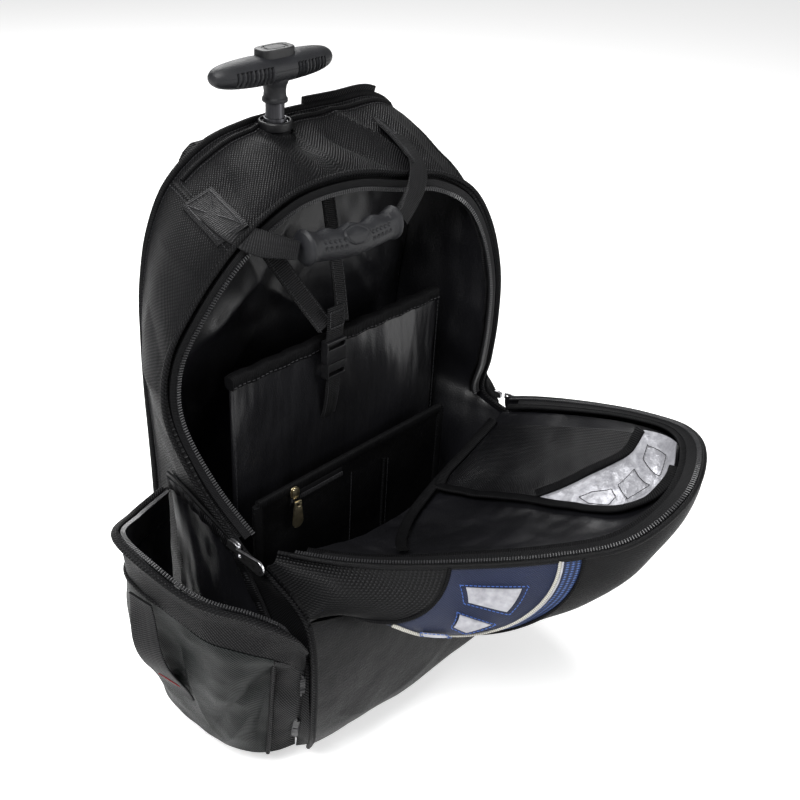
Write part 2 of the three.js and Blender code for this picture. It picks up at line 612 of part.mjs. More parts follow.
// The flap's zipped rim, from the left slider round the tip to the right slider. x is a
// share of HALF_WIDTH, out of FLAP_REACH and up of FLAP_RISE from the hinge line, and
// drop is how deep the bowl hangs there, a share of FLAP_DROP.
const RIM_ROWS = [
  { x: -0.906, out: 0.100, up: 0.000, drop: 0.08 },
  { x: -0.681, out: 0.344, up: 0.025, drop: 0.30 },
  { x: -0.400, out: 0.576, up: 0.113, drop: 0.68 },
  { x: -0.094, out: 0.820, up: 0.300, drop: 0.95 },
  { x: 0.138, out: 0.972, up: 0.513, drop: 1.00 },
  { x: 0.381, out: 1.032, up: 0.850, drop: 0.90 },
  { x: 0.669, out: 0.968, up: 0.975, drop: 0.75 },
  { x: 0.856, out: 0.852, up: 0.913, drop: 0.85 },
  { x: 0.919, out: 0.688, up: 0.788, drop: 0.95 },
  { x: 0.950, out: 0.492, up: 0.600, drop: 0.72 },
  { x: 0.969, out: 0.240, up: 0.313, drop: 0.30 },
  { x: 0.975, out: 0.060, up: 0.060, drop: 0.08 },
];
const hingeY = BACK_Y - 0.6 * BAG_DEPTH;
const hingeZ = 0.4335 * BAG_HEIGHT;
const rimCurve = new THREE.CatmullRomCurve3(RIM_ROWS.map(row => new THREE.Vector3(
  row.x * HALF_WIDTH, hingeY - row.out * FLAP_REACH, hingeZ + row.up * FLAP_RISE)));
const dropCurve = new THREE.CatmullRomCurve3(RIM_ROWS.map((row, i) =>
  new THREE.Vector3(i, row.drop * FLAP_DROP, 0)));
const rimStep = 1 / (RIM_ROWS.length - 1);

// The sewn edge of the bowl: down the side wall, along the boot's top, up the other side
function flapSeam(along) {
  const low = atRow(BOOT_ROW);
  const high = atRow(HINGE_ROW - 0.4);
  if (along < rimStep) {
    return frontCurve.getPoint(high + (low - high) * along / rimStep);
  }
  if (along > 1 - rimStep) {
    return frontCurve.getPoint(1 - (high + (low - high) * (1 - along) / rimStep));
  }
  return boot((along - rimStep) / (1 - 2 * rimStep), 1);
}

function flap(along, down) {
  const rim = rimCurve.getPoint(along);
  const seam = flapSeam(along).addScaledVector(OUT, WALL_STEP).addScaledVector(UP, 2 * WALL_STEP);
  const drop = dropCurve.getPoint(along).y;
  const middle = new THREE.Vector3(0.2 * HALF_WIDTH, hingeY - 0.45 * FLAP_REACH, rim.z);
  const spread = rim.clone().sub(middle).setZ(0).normalize();
  const rimPull = rim.clone().addScaledVector(UP, -drop).addScaledVector(spread, 0.12 * drop);
  const bowl = seam.clone().addScaledVector(OUT, 0.35 * drop).addScaledVector(UP, -0.5 * drop);
  const grown = THREE.MathUtils.smoothstep(Math.min(along, 1 - along),
    HINGE_FLAT, HINGE_FLAT + HINGE_EASE);
  const seamPull = rimPull.clone().lerp(seam, 0.6).lerp(bowl, grown);
  return new THREE.CubicBezierCurve3(rim, rimPull, seamPull, seam).getPoint(down);
}

// Three panels of the flap's outside, sewn side by side. from and to count rows of the
// rim, and side is where the cloth lies on the surface.
const PANELS = [
  { name: 'flap_mesh_panel', from: 0.2, to: 2.0, steps: [9, 8], side: -1, material: meshFabric },
  { name: 'flap_navy_panel', from: 2.0, to: 3.3, steps: [6, 6], side: 1, material: navyNylon },
  { name: 'flap_black_panel', from: 3.3, to: 10.8, steps: [23, 6], side: 1, material: smoothNylon },
];
for (const panel of PANELS) {
  const trim = 0.002;
  add(panel.name, wall(flap, {
    u: [panel.from * rimStep + trim, panel.to * rimStep], steps: panel.steps, side: panel.side,
  }), panel.material);
}

function flapTape(along, across) {
  const edge = rimCurve.getPoint(0.05 + 0.90 * along);
  const middle = new THREE.Vector3(0.2 * HALF_WIDTH, hingeY - 0.4 * FLAP_REACH, edge.z);
  const inwards = middle.sub(edge).normalize();
  return edge.addScaledVector(inwards, WALL_STEP + TAPE_INSET + across * TAPE_WIDTH);
}
add('flap_zip_tape', wall(flapTape, {
  steps: [32, 1], thickness: TAPE_THICK, side: 0,
}), zipTape);

// The lining inside the flap hangs between its near and far rims
const LINING_NEAR = [0.15, 0.50];
const LINING_FAR = [0.965, 0.585];
const rimInset = WALL_STEP + TAPE_WIDTH + 6;
function flapLining(along, across, lift) {
  const near = flapTapePoint(LINING_NEAR[0] + (LINING_NEAR[1] - LINING_NEAR[0]) * along);
  const far = flapTapePoint(LINING_FAR[0] + (LINING_FAR[1] - LINING_FAR[0]) * along);
  const sag = FLAP_SAG * Math.sin(Math.PI * across) * (1 - 0.6 * along * along);
  return near.lerp(far, across).addScaledVector(UP, lift - sag - TAPE_THICK - 4);
}
function flapTapePoint(along) {
  const edge = rimCurve.getPoint(along);
  const middle = new THREE.Vector3(0.2 * HALF_WIDTH, hingeY - 0.4 * FLAP_REACH, edge.z);
  return edge.addScaledVector(middle.sub(edge).normalize(), rimInset);
}
add('flap_lining', wall((a, b) => flapLining(a, b, 0), { steps: [12, 7], side: 0 }), satinLining);

// Mesh pocket over the far half of the lining, and the silver backing that shows above it
add('flap_inner_pocket', wall((a, b) => flapLining(0.06 + 0.88 * a, 0.45 + 0.5 * b,
  5 + POCKET_LIFT * Math.sin(Math.PI * Math.min(1, 0.25 + b))), {
  u: [0, 0.55], steps: [10, 6], thickness: 1.4, side: 0,
}), meshFabric);
add('flap_silver_backing', wall((a, b) => flapLining(0.58 + 0.36 * a, 0.47 + 0.45 * b,
  POCKET_LIFT * 0.7), { steps: [8, 5], thickness: 1.2, side: 0 }), silverFilm);

// A point on the outer face of a side wall: sign is -1 for left, depth is measured from
// the back panel as a share of BAG_DEPTH, and out stands off the cloth
function sideWallPoint(sign, depth, height, out) {
  let low = 0;
  let high = 0.4;
  let point;
  for (let i = 0; i < 24; i++) {
    const share = (low + high) / 2;
    const along = sign < 0 ? share : 1 - share;
    const reach = (BACK_Y - frontCurve.getPoint(along).y) / BAG_DEPTH;
    point = gusset(along, Math.min(1, depth / reach));
    if (point.z < height) low = share;
    else high = share;
  }
  return point.setX(point.x + sign * out);
}

// Open left pocket, from its rear seam round the outside to its front seam. Bottom and
// rim points: out is a share of POCKET_OUT from the middle of the side wall, along of
// POCKET_LENGTH towards the front, and up of POCKET_HEIGHT.
const POCKET_ROWS = [
  { out: 0.00, along: 0.000, up: 0.020, rimOut: 0.03, rimAlong: 0.010, rimUp: 0.850 },
  { out: 0.28, along: 0.070, up: 0.005, rimOut: 0.51, rimAlong: 0.120, rimUp: 0.890 },
  { out: 0.50, along: 0.225, up: 0.005, rimOut: 0.92, rimAlong: 0.305, rimUp: 0.990 },
  { out: 0.56, along: 0.425, up: 0.005, rimOut: 0.99, rimAlong: 0.540, rimUp: 1.000 },
  { out: 0.53, along: 0.600, up: 0.000, rimOut: 0.84, rimAlong: 0.750, rimUp: 0.910 },
  { out: 0.42, along: 0.755, up: -0.010, rimOut: 0.61, rimAlong: 0.920, rimUp: 0.870 },
  { out: 0.23, along: 0.840, up: -0.010, rimOut: 0.41, rimAlong: 1.010, rimUp: 0.790 },
  { out: 0.07, along: 0.880, up: 0.000, rimOut: 0.20, rimAlong: 1.000, rimUp: 0.620 },
];
const pocketBack = BACK_Y - 0.16 * BAG_DEPTH;
const sideX = 0.86 * HALF_WIDTH;
function pocketCurve(outKey, alongKey, upKey) {
  return new THREE.CatmullRomCurve3(POCKET_ROWS.map(row => new THREE.Vector3(
    -sideX - row[outKey] * POCKET_OUT,
    pocketBack - row[alongKey] * POCKET_LENGTH,
    POCKET_BASE + row[upKey] * POCKET_HEIGHT)));
}
const pocketBottom = pocketCurve('out', 'along', 'up');
const pocketRim = pocketCurve('rimOut', 'rimAlong', 'rimUp');
function leftPocket(along, up) {
  const low = pocketBottom.getPoint(along);
  const high = pocketRim.getPoint(along);
  const flare = up ** POCKET_FLARE;
  const point = new THREE.Vector3(
    low.x + (high.x - low.x) * flare,
    low.y + (high.y - low.y) * flare,
    low.z + (high.z - low.z) * up);
  const away = new THREE.Vector3(
    low.x + 0.9 * HALF_WIDTH, low.y - (pocketBack - 0.45 * POCKET_LENGTH), 0);
  const crease = POCKET_CREASE * Math.sin(7 * Math.PI * along) * Math.sin(Math.PI * up) ** 2;
  const round = Math.sin(Math.PI * along) ** 0.6;
  const swell = POCKET_SWELL * Math.sin(Math.PI * Math.min(1, up * 1.1)) * round;
  point.addScaledVector(away.normalize(), swell + crease);
  const depth = (BACK_Y - point.y) / BAG_DEPTH;
  const clear = sideWallPoint(-1, Math.min(depth, 1), point.z, WALL_STEP + CLOTH);
  return point.setX(Math.min(point.x, clear.x));
}
add('left_pocket_panel', wall(leftPocket, {
  u: [0, POCKET_END], v: [0, BAND_SHARE - 0.012], steps: [20, 6], side: -1,
}), greyNylon);
add('left_pocket_band', wall(leftPocket, {
  u: [0, POCKET_END], v: [BAND_SHARE, 1], steps: [20, 2], side: -1,
}), ribbedNylon);

// Floor of the left pocket, between its wall and the bag's side wall
const pocketFloorHeight = POCKET_BASE + 6;
const floorSteps = 16;
const outerEdge = [];
const innerEdge = [];
for (let i = 0; i <= floorSteps; i++) {
  const along = 0.05 + 0.88 * i / floorSteps;
  const point = leftPocket(along, 0.03);
  const next = leftPocket(along + 0.02, 0.03);
  const inwards = new THREE.Vector2(point.y - next.y, next.x - point.x).normalize();
  const x = point.x + inwards.x * 1.6 * WALL_STEP;
  const y = point.y + inwards.y * 1.6 * WALL_STEP;
  const wallX = sideWallPoint(-1, (BACK_Y - y) / BAG_DEPTH, pocketFloorHeight, WALL_STEP).x;
  outerEdge.push(new THREE.Vector2(Math.min(x, wallX - 1), y));
  innerEdge.unshift(new THREE.Vector2(wallX, y));
}
const pocketFloorPlate = new THREE.ExtrudeGeometry(new THREE.Shape([...outerEdge, ...innerEdge]),
  { depth: CLOTH, bevelEnabled: false });
pocketFloorPlate.translate(0, 0, pocketFloorHeight);
add('left_pocket_floor', pocketFloorPlate, greyNylon);

// Binding along the pocket's mouth on the bag's side wall
function innerTape(along, across) {
  const arch = 0.86 + 0.10 * Math.sin(Math.PI * Math.min(1, 0.2 + along));
  const height = POCKET_BASE + POCKET_HEIGHT * (arch - 0.25 * Math.max(0, along - 0.75) / 0.25);
  return sideWallPoint(-1, 0.19 + 0.62 * along, height + (across - 0.5) * TAPE_WIDTH, 3 * GAP + 1);
}
add('left_pocket_inner_tape', wall(innerTape, {
  steps: [20, 1], thickness: TAPE_THICK, side: 0,
}), zipTape);

// Webbing loop on the outside of the left pocket, lifted off the cloth in its middle
const loopUp = t => BAND_SHARE - 0.02 - t * LOOP_LENGTH / POCKET_HEIGHT;
const loopAlong = t => LOOP_AT + LOOP_SLANT * t;
function loopAcross(t) {
  const step = 0.02;
  const ahead = leftPocket(loopAlong(t) + step, loopUp(t));
  return ahead.sub(leftPocket(loopAlong(t) - step, loopUp(t))).normalize();
}
function loopPath(t) {
  const away = loopAcross(t).cross(UP).normalize();
  const lift = CLOTH + LOOP_LIFT * Math.sin(Math.PI * t) ** 2;
  return leftPocket(loopAlong(t), loopUp(t)).addScaledVector(away, lift);
}
add('left_pocket_loop', band(loopPath, loopAcross, LOOP_WIDTH, WEBBING_THICK, 12), webbing);

// Closed right pocket, a dome of cloth sewn round the edge to the side wall. Its outline
// narrows at the top and bottom and leans back towards the top.
function rightPocket(along, up) {
  const wide = 0.55 + 0.45 * (1 - Math.abs(2 * up - 1) ** 3);
  const middle = CLOSED_POCKET_AT - CLOSED_POCKET_LEAN * up;
  const depth = middle + (along - 0.5) * wide * CLOSED_POCKET_LENGTH / BAG_DEPTH;
  const round = Math.sin(Math.PI * along) ** 0.55 * Math.sin(Math.PI * up) ** 0.45;
  const flat = WALL_STEP + TAPE_INSET;
  const out = flat + (CLOSED_POCKET_OUT - flat) * round;
  return sideWallPoint(1, depth, POCKET_BASE + up * CLOSED_POCKET_HEIGHT, out);
}
add('right_pocket', wall(rightPocket, { steps: [12, 10], side: 1 }), ribbedNylon);

// Padded sleeve and organizer standing in front of the rear lining
function roundedPanel(width, height, radius) {
  const outline = new THREE.Shape();
  outline.moveTo(-width / 2, 0);
  outline.lineTo(width / 2, 0);
  outline.absarc(width / 2 - radius, height - radius, radius, 0, Math.PI / 2);
  outline.absarc(-width / 2 + radius, height - radius, radius, Math.PI / 2, Math.PI);
  outline.closePath();
  return outline;
}
const insideFloor = FLOOR_HEIGHT + CLOTH + 4;
const sleeve = upright(roundedPanel(SLEEVE_WIDTH, SLEEVE_HEIGHT, 6), SLEEVE_THICK,
  BACK_Y - SLEEVE_TO_BACK);
sleeve.translate(6, 0, insideFloor + SLEEVE_RISE);
add('laptop_sleeve', sleeve, satinLining);
const organizer = upright(roundedPanel(ORGANIZER_WIDTH, ORGANIZER_HEIGHT, 8), CLOTH,
  BACK_Y - ORGANIZER_TO_BACK);
organizer.translate(0, 0, insideFloor);
add('organizer_pocket', organizer, satinLining);

// Tie-down straps: two legs from the lining meet above a side-release buckle, and a tab
// sewn to the sleeve holds its other half
const sleeveFront = BACK_Y - SLEEVE_TO_BACK - SLEEVE_THICK;
const tieY = sleeveFront - 8;
const joinPoint = new THREE.Vector3(-14, tieY, insideFloor + 1.11 * SLEEVE_HEIGHT);
const TIE_LEGS = [
  { name: 'tie_strap_left', from: [-0.33, 0.875], spread: -TIE_WEBBING * 0.62 },
  { name: 'tie_strap_right', from: [0.20, 0.895], spread: TIE_WEBBING * 0.55 },
];
for (const leg of TIE_LEGS) {
  const start = new THREE.Vector3(leg.from[0] * HALF_WIDTH, liningY - CLOTH - 8, leg.from[1] * BAG_HEIGHT);
  const end = joinPoint.clone().add(new THREE.Vector3(leg.spread, 0, 8));
  const middle = start.clone().lerp(end, 0.5).add(new THREE.Vector3(0, -4, -6));
  const curve = new THREE.QuadraticBezierCurve3(start, middle, end);
  add(leg.name, band(t => curve.getPoint(t), t => {
    const run = curve.getTangent(t);
    return new THREE.Vector3().crossVectors(run, OUT).normalize();
  }, TIE_WEBBING, WEBBING_THICK, 12), webbing);
}
const buckleTop = joinPoint.z - 6;
const bodyLength = 0.58 * BUCKLE_LENGTH;
function buckleBlock(width, length, top) {
  return box([width, BUCKLE_THICK, length], [joinPoint.x, tieY, top - length / 2]);
}
const slot = solid(box([TIE_WEBBING + 2, 2 * BUCKLE_THICK, 4],
  [joinPoint.x, tieY, buckleTop - 5]));
add('buckle_body', shape(solid(buckleBlock(BUCKLE_WIDTH, bodyLength, buckleTop)).subtract(slot)),
  blackPlastic);
const tongueTop = buckleTop - bodyLength - GAP;
const tongueLength = BUCKLE_LENGTH - bodyLength;
const tongueSlot = solid(box([TIE_WEBBING + 1, 2 * BUCKLE_THICK, 4],
  [joinPoint.x, tieY, tongueTop - tongueLength + 5]));
add('buckle_tongue', shape(solid(buckleBlock(0.9 * BUCKLE_WIDTH, tongueLength, tongueTop))
  .subtract(tongueSlot)), blackPlastic);
const tabTop = tongueTop - tongueLength - 1;
const tabPath = new THREE.QuadraticBezierCurve3(
  new THREE.Vector3(joinPoint.x, tieY, tabTop),
  new THREE.Vector3(joinPoint.x, tieY, tabTop - 0.6 * TAB_LENGTH),
  new THREE.Vector3(joinPoint.x, sleeveFront - WEBBING_THICK - GAP, tabTop - TAB_LENGTH));
add('tie_tab', band(t => tabPath.getPoint(t), () => RIGHT.clone(), TIE_WEBBING, WEBBING_THICK, 6),
  webbing);

// Carry handle: two sewn webbings from the top wall to a moulded grip
const gripY = BACK_Y - 0.428 * BAG_DEPTH - 12;
const gripLeft = new THREE.Vector3(-0.345 * HALF_WIDTH, gripY, 0.868 * BAG_HEIGHT);
const gripRight = new THREE.Vector3(gripLeft.x + GRIP_LENGTH, gripY, 0.856 * BAG_HEIGHT);
const GRIP_ROWS = [
  { at: 0.00, radius: 1.00 }, { at: 0.03, radius: 1.12 }, { at: 0.08, radius: 0.92 },
  { at: 0.18, radius: 1.00 }, { at: 0.27, radius: 0.92 }, { at: 0.36, radius: 1.02 },
  { at: 0.45, radius: 0.95 }, { at: 0.55, radius: 1.04 }, { at: 0.64, radius: 0.95 },
  { at: 0.73, radius: 1.02 }, { at: 0.82, radius: 0.92 }, { at: 0.92, radius: 0.98 },
  { at: 0.97, radius: 1.06 }, { at: 1.00, radius: 0.90 },
];
add('carry_grip', loft(GRIP_ROWS.map(row => {
  const centre = gripLeft.clone().lerp(gripRight, row.at);
  const arch = 5 * Math.sin(Math.PI * row.at);
  const radius = row.radius * GRIP_RADIUS;
  return ellipse(centre.x, centre.y, centre.z - arch, 0.85 * radius, radius, 10);
})), softRubber);
const HANDLE_STRAPS = [
  { name: 'handle_webbing_left', anchor: 0.385, end: gripLeft, away: -1 },
  { name: 'handle_webbing_right', anchor: 0.56, end: gripRight, away: 1 },
];
for (const strap of HANDLE_STRAPS) {
  const surfacePoint = across => gusset(strap.anchor, across)
    .addScaledVector(awayFromMiddle(gusset(strap.anchor, across)), HANDLE_STANDOFF);
  const high = surfacePoint(0.62);
  const edge = surfacePoint(1.0).addScaledVector(OUT, 7);
  const end = strap.end.clone().add(new THREE.Vector3(strap.away * 6, 0, 0));
  const curve = new THREE.CubicBezierCurve3(high, edge.clone().lerp(high, 0.25), edge, end);
  add(strap.name, band(t => curve.getPoint(t), t => {
    const flat = new THREE.Vector3(1, 0, strap.away * -0.35).normalize();
    const run = curve.getTangent(t);
    return flat.addScaledVector(run, -flat.dot(run)).normalize();
  }, HANDLE_WEBBING * 0.8, WEBBING_THICK, 10), webbing);
}

// Shoulder straps lie on the back panel, with webbing tails and ladder buckles below
const SHOULDERS = [
  { side: 'left', top: -0.22, bottom: -0.50 },
  { side: 'right', top: 0.50, bottom: 0.52 },
];
const PAD_SECTION = [
  [-1, 0.3], [-0.85, 1], [0.85, 1], [1, 0.3], [1, -0.3], [0.85, -1], [-0.85, -1], [-1, -0.3],
];
const shoulderTop = BAG_HEIGHT - SHOULDER_BELOW_TOP;
const ladderTop = WELL_HEIGHT + TAIL_ABOVE_WELL + TAIL_LENGTH + LADDER_LENGTH + 1;
const shoulderLength = shoulderTop - ladderTop - 4;
const strapY = BACK_Y + 2 + SHOULDER_THICK / 2;
for (const strap of SHOULDERS) {
  const centreAt = share => new THREE.Vector3(
    HALF_WIDTH * (strap.top + (strap.bottom - strap.top) * share ** 1.5), strapY,
    shoulderTop - shoulderLength * share);
  const rings = [];
  const stations = 12;
  for (let i = 0; i <= stations; i++) {
    const share = i / stations;
    const centre = centreAt(share);
    const width = SHOULDER_WIDTH / 2 * (1 - 0.35 * share ** 2) * (i === stations ? 0.9 : 1);
    const thick = SHOULDER_THICK / 2 * (i === 0 || i === stations ? 0.55 : 1);
    rings.push(PAD_SECTION.map(([x, y]) =>
      new THREE.Vector3(centre.x + x * width, centre.y + y * thick, centre.z)));
  }
  add(`shoulder_strap_${strap.side}`, loft(rings), smoothNylon);

  const low = centreAt(1);
  const ladderY = BACK_Y + LADDER_THICK;
  const ladder = solid(box([LADDER_WIDTH, LADDER_THICK, LADDER_LENGTH],
    [low.x, ladderY, ladderTop - LADDER_LENGTH / 2]));
  const slotHeight = (LADDER_LENGTH - 3 * LADDER_BAR) / 2;
  const window = row => solid(box([LADDER_WIDTH - 2 * LADDER_BAR, 2 * LADDER_THICK, slotHeight],
    [low.x, ladderY, ladderTop - LADDER_BAR - slotHeight / 2 - row * (slotHeight + LADDER_BAR)]));
  add(`ladder_buckle_${strap.side}`,
    shape(ladder.subtract(window(0)).subtract(window(1))), blackPlastic);
  const tailTop = new THREE.Vector3(low.x, BACK_Y + 3.6, ladderTop - LADDER_LENGTH - 1);
  const tailEnd = new THREE.Vector3(low.x + Math.sign(strap.bottom) * 6, BACK_Y + 2,
    tailTop.z - TAIL_LENGTH);
  add(`strap_tail_${strap.side}`, band(t => tailTop.clone().lerp(tailEnd, t), () => RIGHT.clone(),
    HANDLE_WEBBING, WEBBING_THICK, 2), webbing);
}

// Zip sliders and their pull tabs. A tab hangs from a cross bar on its slider; from and
// turn give where the bar is and how the tab's length, width and thickness point.
function pullOutline(length, width) {
  const outline = new THREE.Shape();
  outline.moveTo(-0.3 * width, 0);
  outline.lineTo(-0.5 * width, -0.72 * length);
  outline.absarc(0, -0.72 * length, 0.5 * width, Math.PI, 2 * Math.PI);
  outline.lineTo(0.3 * width, 0);
  outline.closePath();
  const eye = new THREE.Path();
  eye.absarc(0, -0.14 * length, 0.14 * width, 0, 2 * Math.PI, true);
  outline.holes.push(eye);
  return outline;
}
function addSlider(name, bar, basis, scale, material) {
  const frame = new THREE.Matrix4().makeBasis(...basis).setPosition(bar);
  const seat = box([SLIDER_WIDTH * scale, SLIDER_LENGTH * scale, SLIDER_THICK * scale],
    [0, 0.62 * SLIDER_LENGTH * scale, -0.5 * SLIDER_THICK * scale - PULL_THICK]);
  seat.applyMatrix4(frame);
  add(`${name}_slider`, seat, material);
  const tab = new THREE.ExtrudeGeometry(pullOutline(PULL_LENGTH * scale, PULL_WIDTH * scale),
    { depth: PULL_THICK * scale, bevelEnabled: false, curveSegments: 6 });
  tab.translate(0, 0, -PULL_THICK * scale / 2);
  tab.applyMatrix4(frame);
  add(`${name}_pull`, tab, material);
}
const vector = (x, y, z) => new THREE.Vector3(x, y, z);
const hingeLeft = frontCurve.getPoint(atRow(HINGE_ROW));
const hingeRight = frontCurve.getPoint(1 - atRow(HINGE_ROW));
addSlider('main_left', hingeLeft.clone().add(vector(-10, -8, 2)),
  [vector(0, 0, 1), vector(0, 1, 0), vector(-1, 0, 0)], 1, bareSteel);
addSlider('main_right', hingeRight.clone().add(vector(9, -20, 0)),
  [vector(0, 0, -1), vector(0, 1, 0), vector(1, 0, 0)], 0.72, bareSteel);
const organizerBar = vector(-0.46 * HALF_WIDTH, BACK_Y - ORGANIZER_TO_BACK - CLOTH - 7,
  insideFloor + 0.93 * ORGANIZER_HEIGHT);
addSlider('organizer', organizerBar,
  [vector(1, 0, 0), vector(0, 0, 1), vector(0, -1, 0)], 0.85, brass);

export default group;
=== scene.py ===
"""Wheeled backpack, opened and standing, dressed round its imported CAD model.

Metres, +Z up, +Y towards the back panel, +X to the right of someone facing the opening.
"""
import math

import bmesh
import bpy
import numpy as np
from mathutils import Matrix, Vector, noise


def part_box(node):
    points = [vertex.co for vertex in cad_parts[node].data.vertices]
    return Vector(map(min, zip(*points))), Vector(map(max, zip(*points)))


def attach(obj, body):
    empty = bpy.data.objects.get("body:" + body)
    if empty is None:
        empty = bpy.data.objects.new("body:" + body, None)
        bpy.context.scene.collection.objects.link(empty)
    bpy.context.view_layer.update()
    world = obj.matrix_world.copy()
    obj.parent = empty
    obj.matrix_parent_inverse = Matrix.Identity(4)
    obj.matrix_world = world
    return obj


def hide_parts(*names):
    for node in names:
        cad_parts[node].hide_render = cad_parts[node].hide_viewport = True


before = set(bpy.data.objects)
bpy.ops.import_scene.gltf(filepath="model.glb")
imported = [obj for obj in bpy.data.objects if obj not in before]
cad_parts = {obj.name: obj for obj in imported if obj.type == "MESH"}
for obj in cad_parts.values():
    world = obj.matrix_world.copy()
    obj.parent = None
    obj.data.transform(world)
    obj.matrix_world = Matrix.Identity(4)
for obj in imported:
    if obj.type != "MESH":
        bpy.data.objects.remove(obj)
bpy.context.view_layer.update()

# Studio: a pale floor under soft boxes, seen from above the bag's left front corner.
# The camera stands where the photograph's did.
floor_mesh = bpy.data.meshes.new("studio_floor")
floor_mesh.from_pydata([(-6, -6, 0), (6, -6, 0), (6, 6, 0), (-6, 6, 0)], [], [(0, 1, 2, 3)])
studio_floor = bpy.data.objects.new("studio_floor", floor_mesh)
bpy.context.collection.objects.link(studio_floor)
floor_paint = bpy.data.materials.new("pale_floor")
floor_paint.use_nodes = True
floor_paint.node_tree.nodes["Principled BSDF"].inputs["Base Color"].default_value = (0.86, 0.86, 0.86, 1)
floor_paint.node_tree.nodes["Principled BSDF"].inputs["Roughness"].default_value = 0.9
floor_paint.node_tree.nodes["Principled BSDF"].inputs["Emission Color"].default_value = (1, 1, 1, 1)
floor_paint.node_tree.nodes["Principled BSDF"].inputs["Emission Strength"].default_value = 0.50
floor_mesh.materials.append(floor_paint)

yaw, pitch, roll = (math.radians(angle) for angle in (48.92, 31.52, 3.4))
look = Vector((math.sin(yaw) * math.cos(pitch), math.cos(yaw) * math.cos(pitch), -math.sin(pitch)))
level = Vector((math.cos(yaw), -math.sin(yaw), 0))
upright = level.cross(look)
across_view = level * math.cos(roll) + upright * math.sin(roll)
up_view = upright * math.cos(roll) - level * math.sin(roll)
camera_data = bpy.data.cameras.new("camera")
camera_data.lens = 49.9
camera_data.sensor_width = 36
camera = bpy.data.objects.new("camera", camera_data)
camera.matrix_world = Matrix((across_view, up_view, -look)).transposed().to_4x4()
camera.matrix_world.translation = (-0.5671, -0.4771, 0.7374)
bpy.context.collection.objects.link(camera)
bpy.context.scene.camera = camera
bpy.context.scene.view_settings.view_transform = "Standard"


def soft_box(name, place, aim, size, power):
    """A square lamp at a place, turned towards its aim."""
    lamp = bpy.data.lights.new(name, "AREA")
    lamp.size = size
    lamp.energy = power
    holder = bpy.data.objects.new(name, lamp)
    bpy.context.collection.objects.link(holder)
    holder.location = place
    holder.rotation_euler = (Vector(aim) - Vector(place)).to_track_quat("-Z", "Y").to_euler()


soft_box("key_light", (-1.0, -0.2, 1.7), (0, 0.05, 0.25), 0.9, 46)
soft_box("rear_light", (0.5, 1.3, 1.5), (0, 0.1, 0.3), 1.0, 34)
soft_box("front_light", (0.9, -1.5, 0.9), (0, 0, 0.2), 0.9, 16)
world = bpy.data.worlds.new("studio")
world.use_nodes = True
world.node_tree.nodes["Background"].inputs["Color"].default_value = (1, 1, 1, 1)
world.node_tree.nodes["Background"].inputs["Strength"].default_value = 0.27
bpy.context.scene.world = world

# Main wall: one strip of ballistic nylon that runs up the left side, over the top and
# down the right side. It is sewn to the back panel, lined with satin, and its free front
# edge carries the main zip.
half_width, bag_height, bag_depth, back_y = 0.160, 0.466, 0.222, 0.180
cloth_thick, seam_gap = 0.0026, 0.0004
wall_step = cloth_thick + seam_gap
wall_swell = 0.007
# Sewn edge's x and z, then the free edge's x, depth and z, as shares of the sizes above
wall_rows = (
    (-0.781, 0.045, -0.831, 0.910, 0.034), (-0.781, 0.172, -0.925, 1.000, 0.129),
    (-0.781, 0.330, -0.950, 0.985, 0.372), (-0.781, 0.402, -0.944, 0.820, 0.410),
    (-0.781, 0.472, -0.938, 0.640, 0.433), (-0.781, 0.569, -1.013, 0.491, 0.528),
    (-0.775, 0.676, -1.050, 0.383, 0.635), (-0.756, 0.773, -1.013, 0.369, 0.721),
    (-0.700, 0.858, -0.894, 0.396, 0.803), (-0.588, 0.929, -0.706, 0.428, 0.884),
    (-0.388, 0.976, -0.450, 0.405, 0.923), (-0.125, 0.994, -0.188, 0.374, 0.938),
    (0.188, 1.000, 0.175, 0.365, 0.933), (0.500, 0.996, 0.488, 0.378, 0.908),
    (0.763, 0.990, 0.744, 0.410, 0.890), (0.919, 0.955, 0.919, 0.459, 0.853),
    (0.938, 0.878, 1.013, 0.505, 0.790), (0.888, 0.760, 1.031, 0.563, 0.697),
    (0.813, 0.633, 1.013, 0.586, 0.601), (0.788, 0.536, 1.000, 0.581, 0.515),
    (0.781, 0.472, 1.000, 0.563, 0.436), (0.781, 0.402, 0.988, 0.790, 0.410),
    (0.781, 0.330, 0.963, 0.985, 0.372), (0.781, 0.172, 0.938, 1.000, 0.129),
    (0.781, 0.045, 0.844, 0.910, 0.034),
)
last_row = len(wall_rows) - 1
# Dents of the top: along and across the wall, depth, reach along and across
wall_dents = ((0.515, 0.45, 0.009, 0.045, 0.35), (0.400, 0.55, 0.006, 0.035, 0.40),
              (0.600, 0.60, 0.005, 0.030, 0.40))


def spline(knots):
    """A smooth curve through the knots, as a function of a share from 0 to 1."""
    knots = np.array(knots, float)
    ends = np.vstack([2 * knots[0] - knots[1], knots, 2 * knots[-1] - knots[-2]])

    def at(share):
        place = np.clip(np.asarray(share, float), 0, 1) * (len(knots) - 1)
        span = np.minimum(place.astype(int), len(knots) - 2)
        w = (place - span)[..., None]
        p0, p1, p2, p3 = (ends[span + k] for k in range(4))
        d0, d1, d2 = (np.sqrt(np.linalg.norm(b - a, axis=-1, keepdims=True))
                      for a, b in ((p0, p1), (p1, p2), (p2, p3)))
        t1 = ((p1 - p0) / d0 - (p2 - p0) / (d0 + d1) + (p2 - p1) / d1) * d1
        t2 = ((p2 - p1) / d1 - (p3 - p1) / (d1 + d2) + (p3 - p2) / d2) * d1
        return (p1 + t1 * w + (3 * (p2 - p1) - 2 * t1 - t2) * w ** 2
                + (2 * (p1 - p2) + t1 + t2) * w ** 3)
    return at


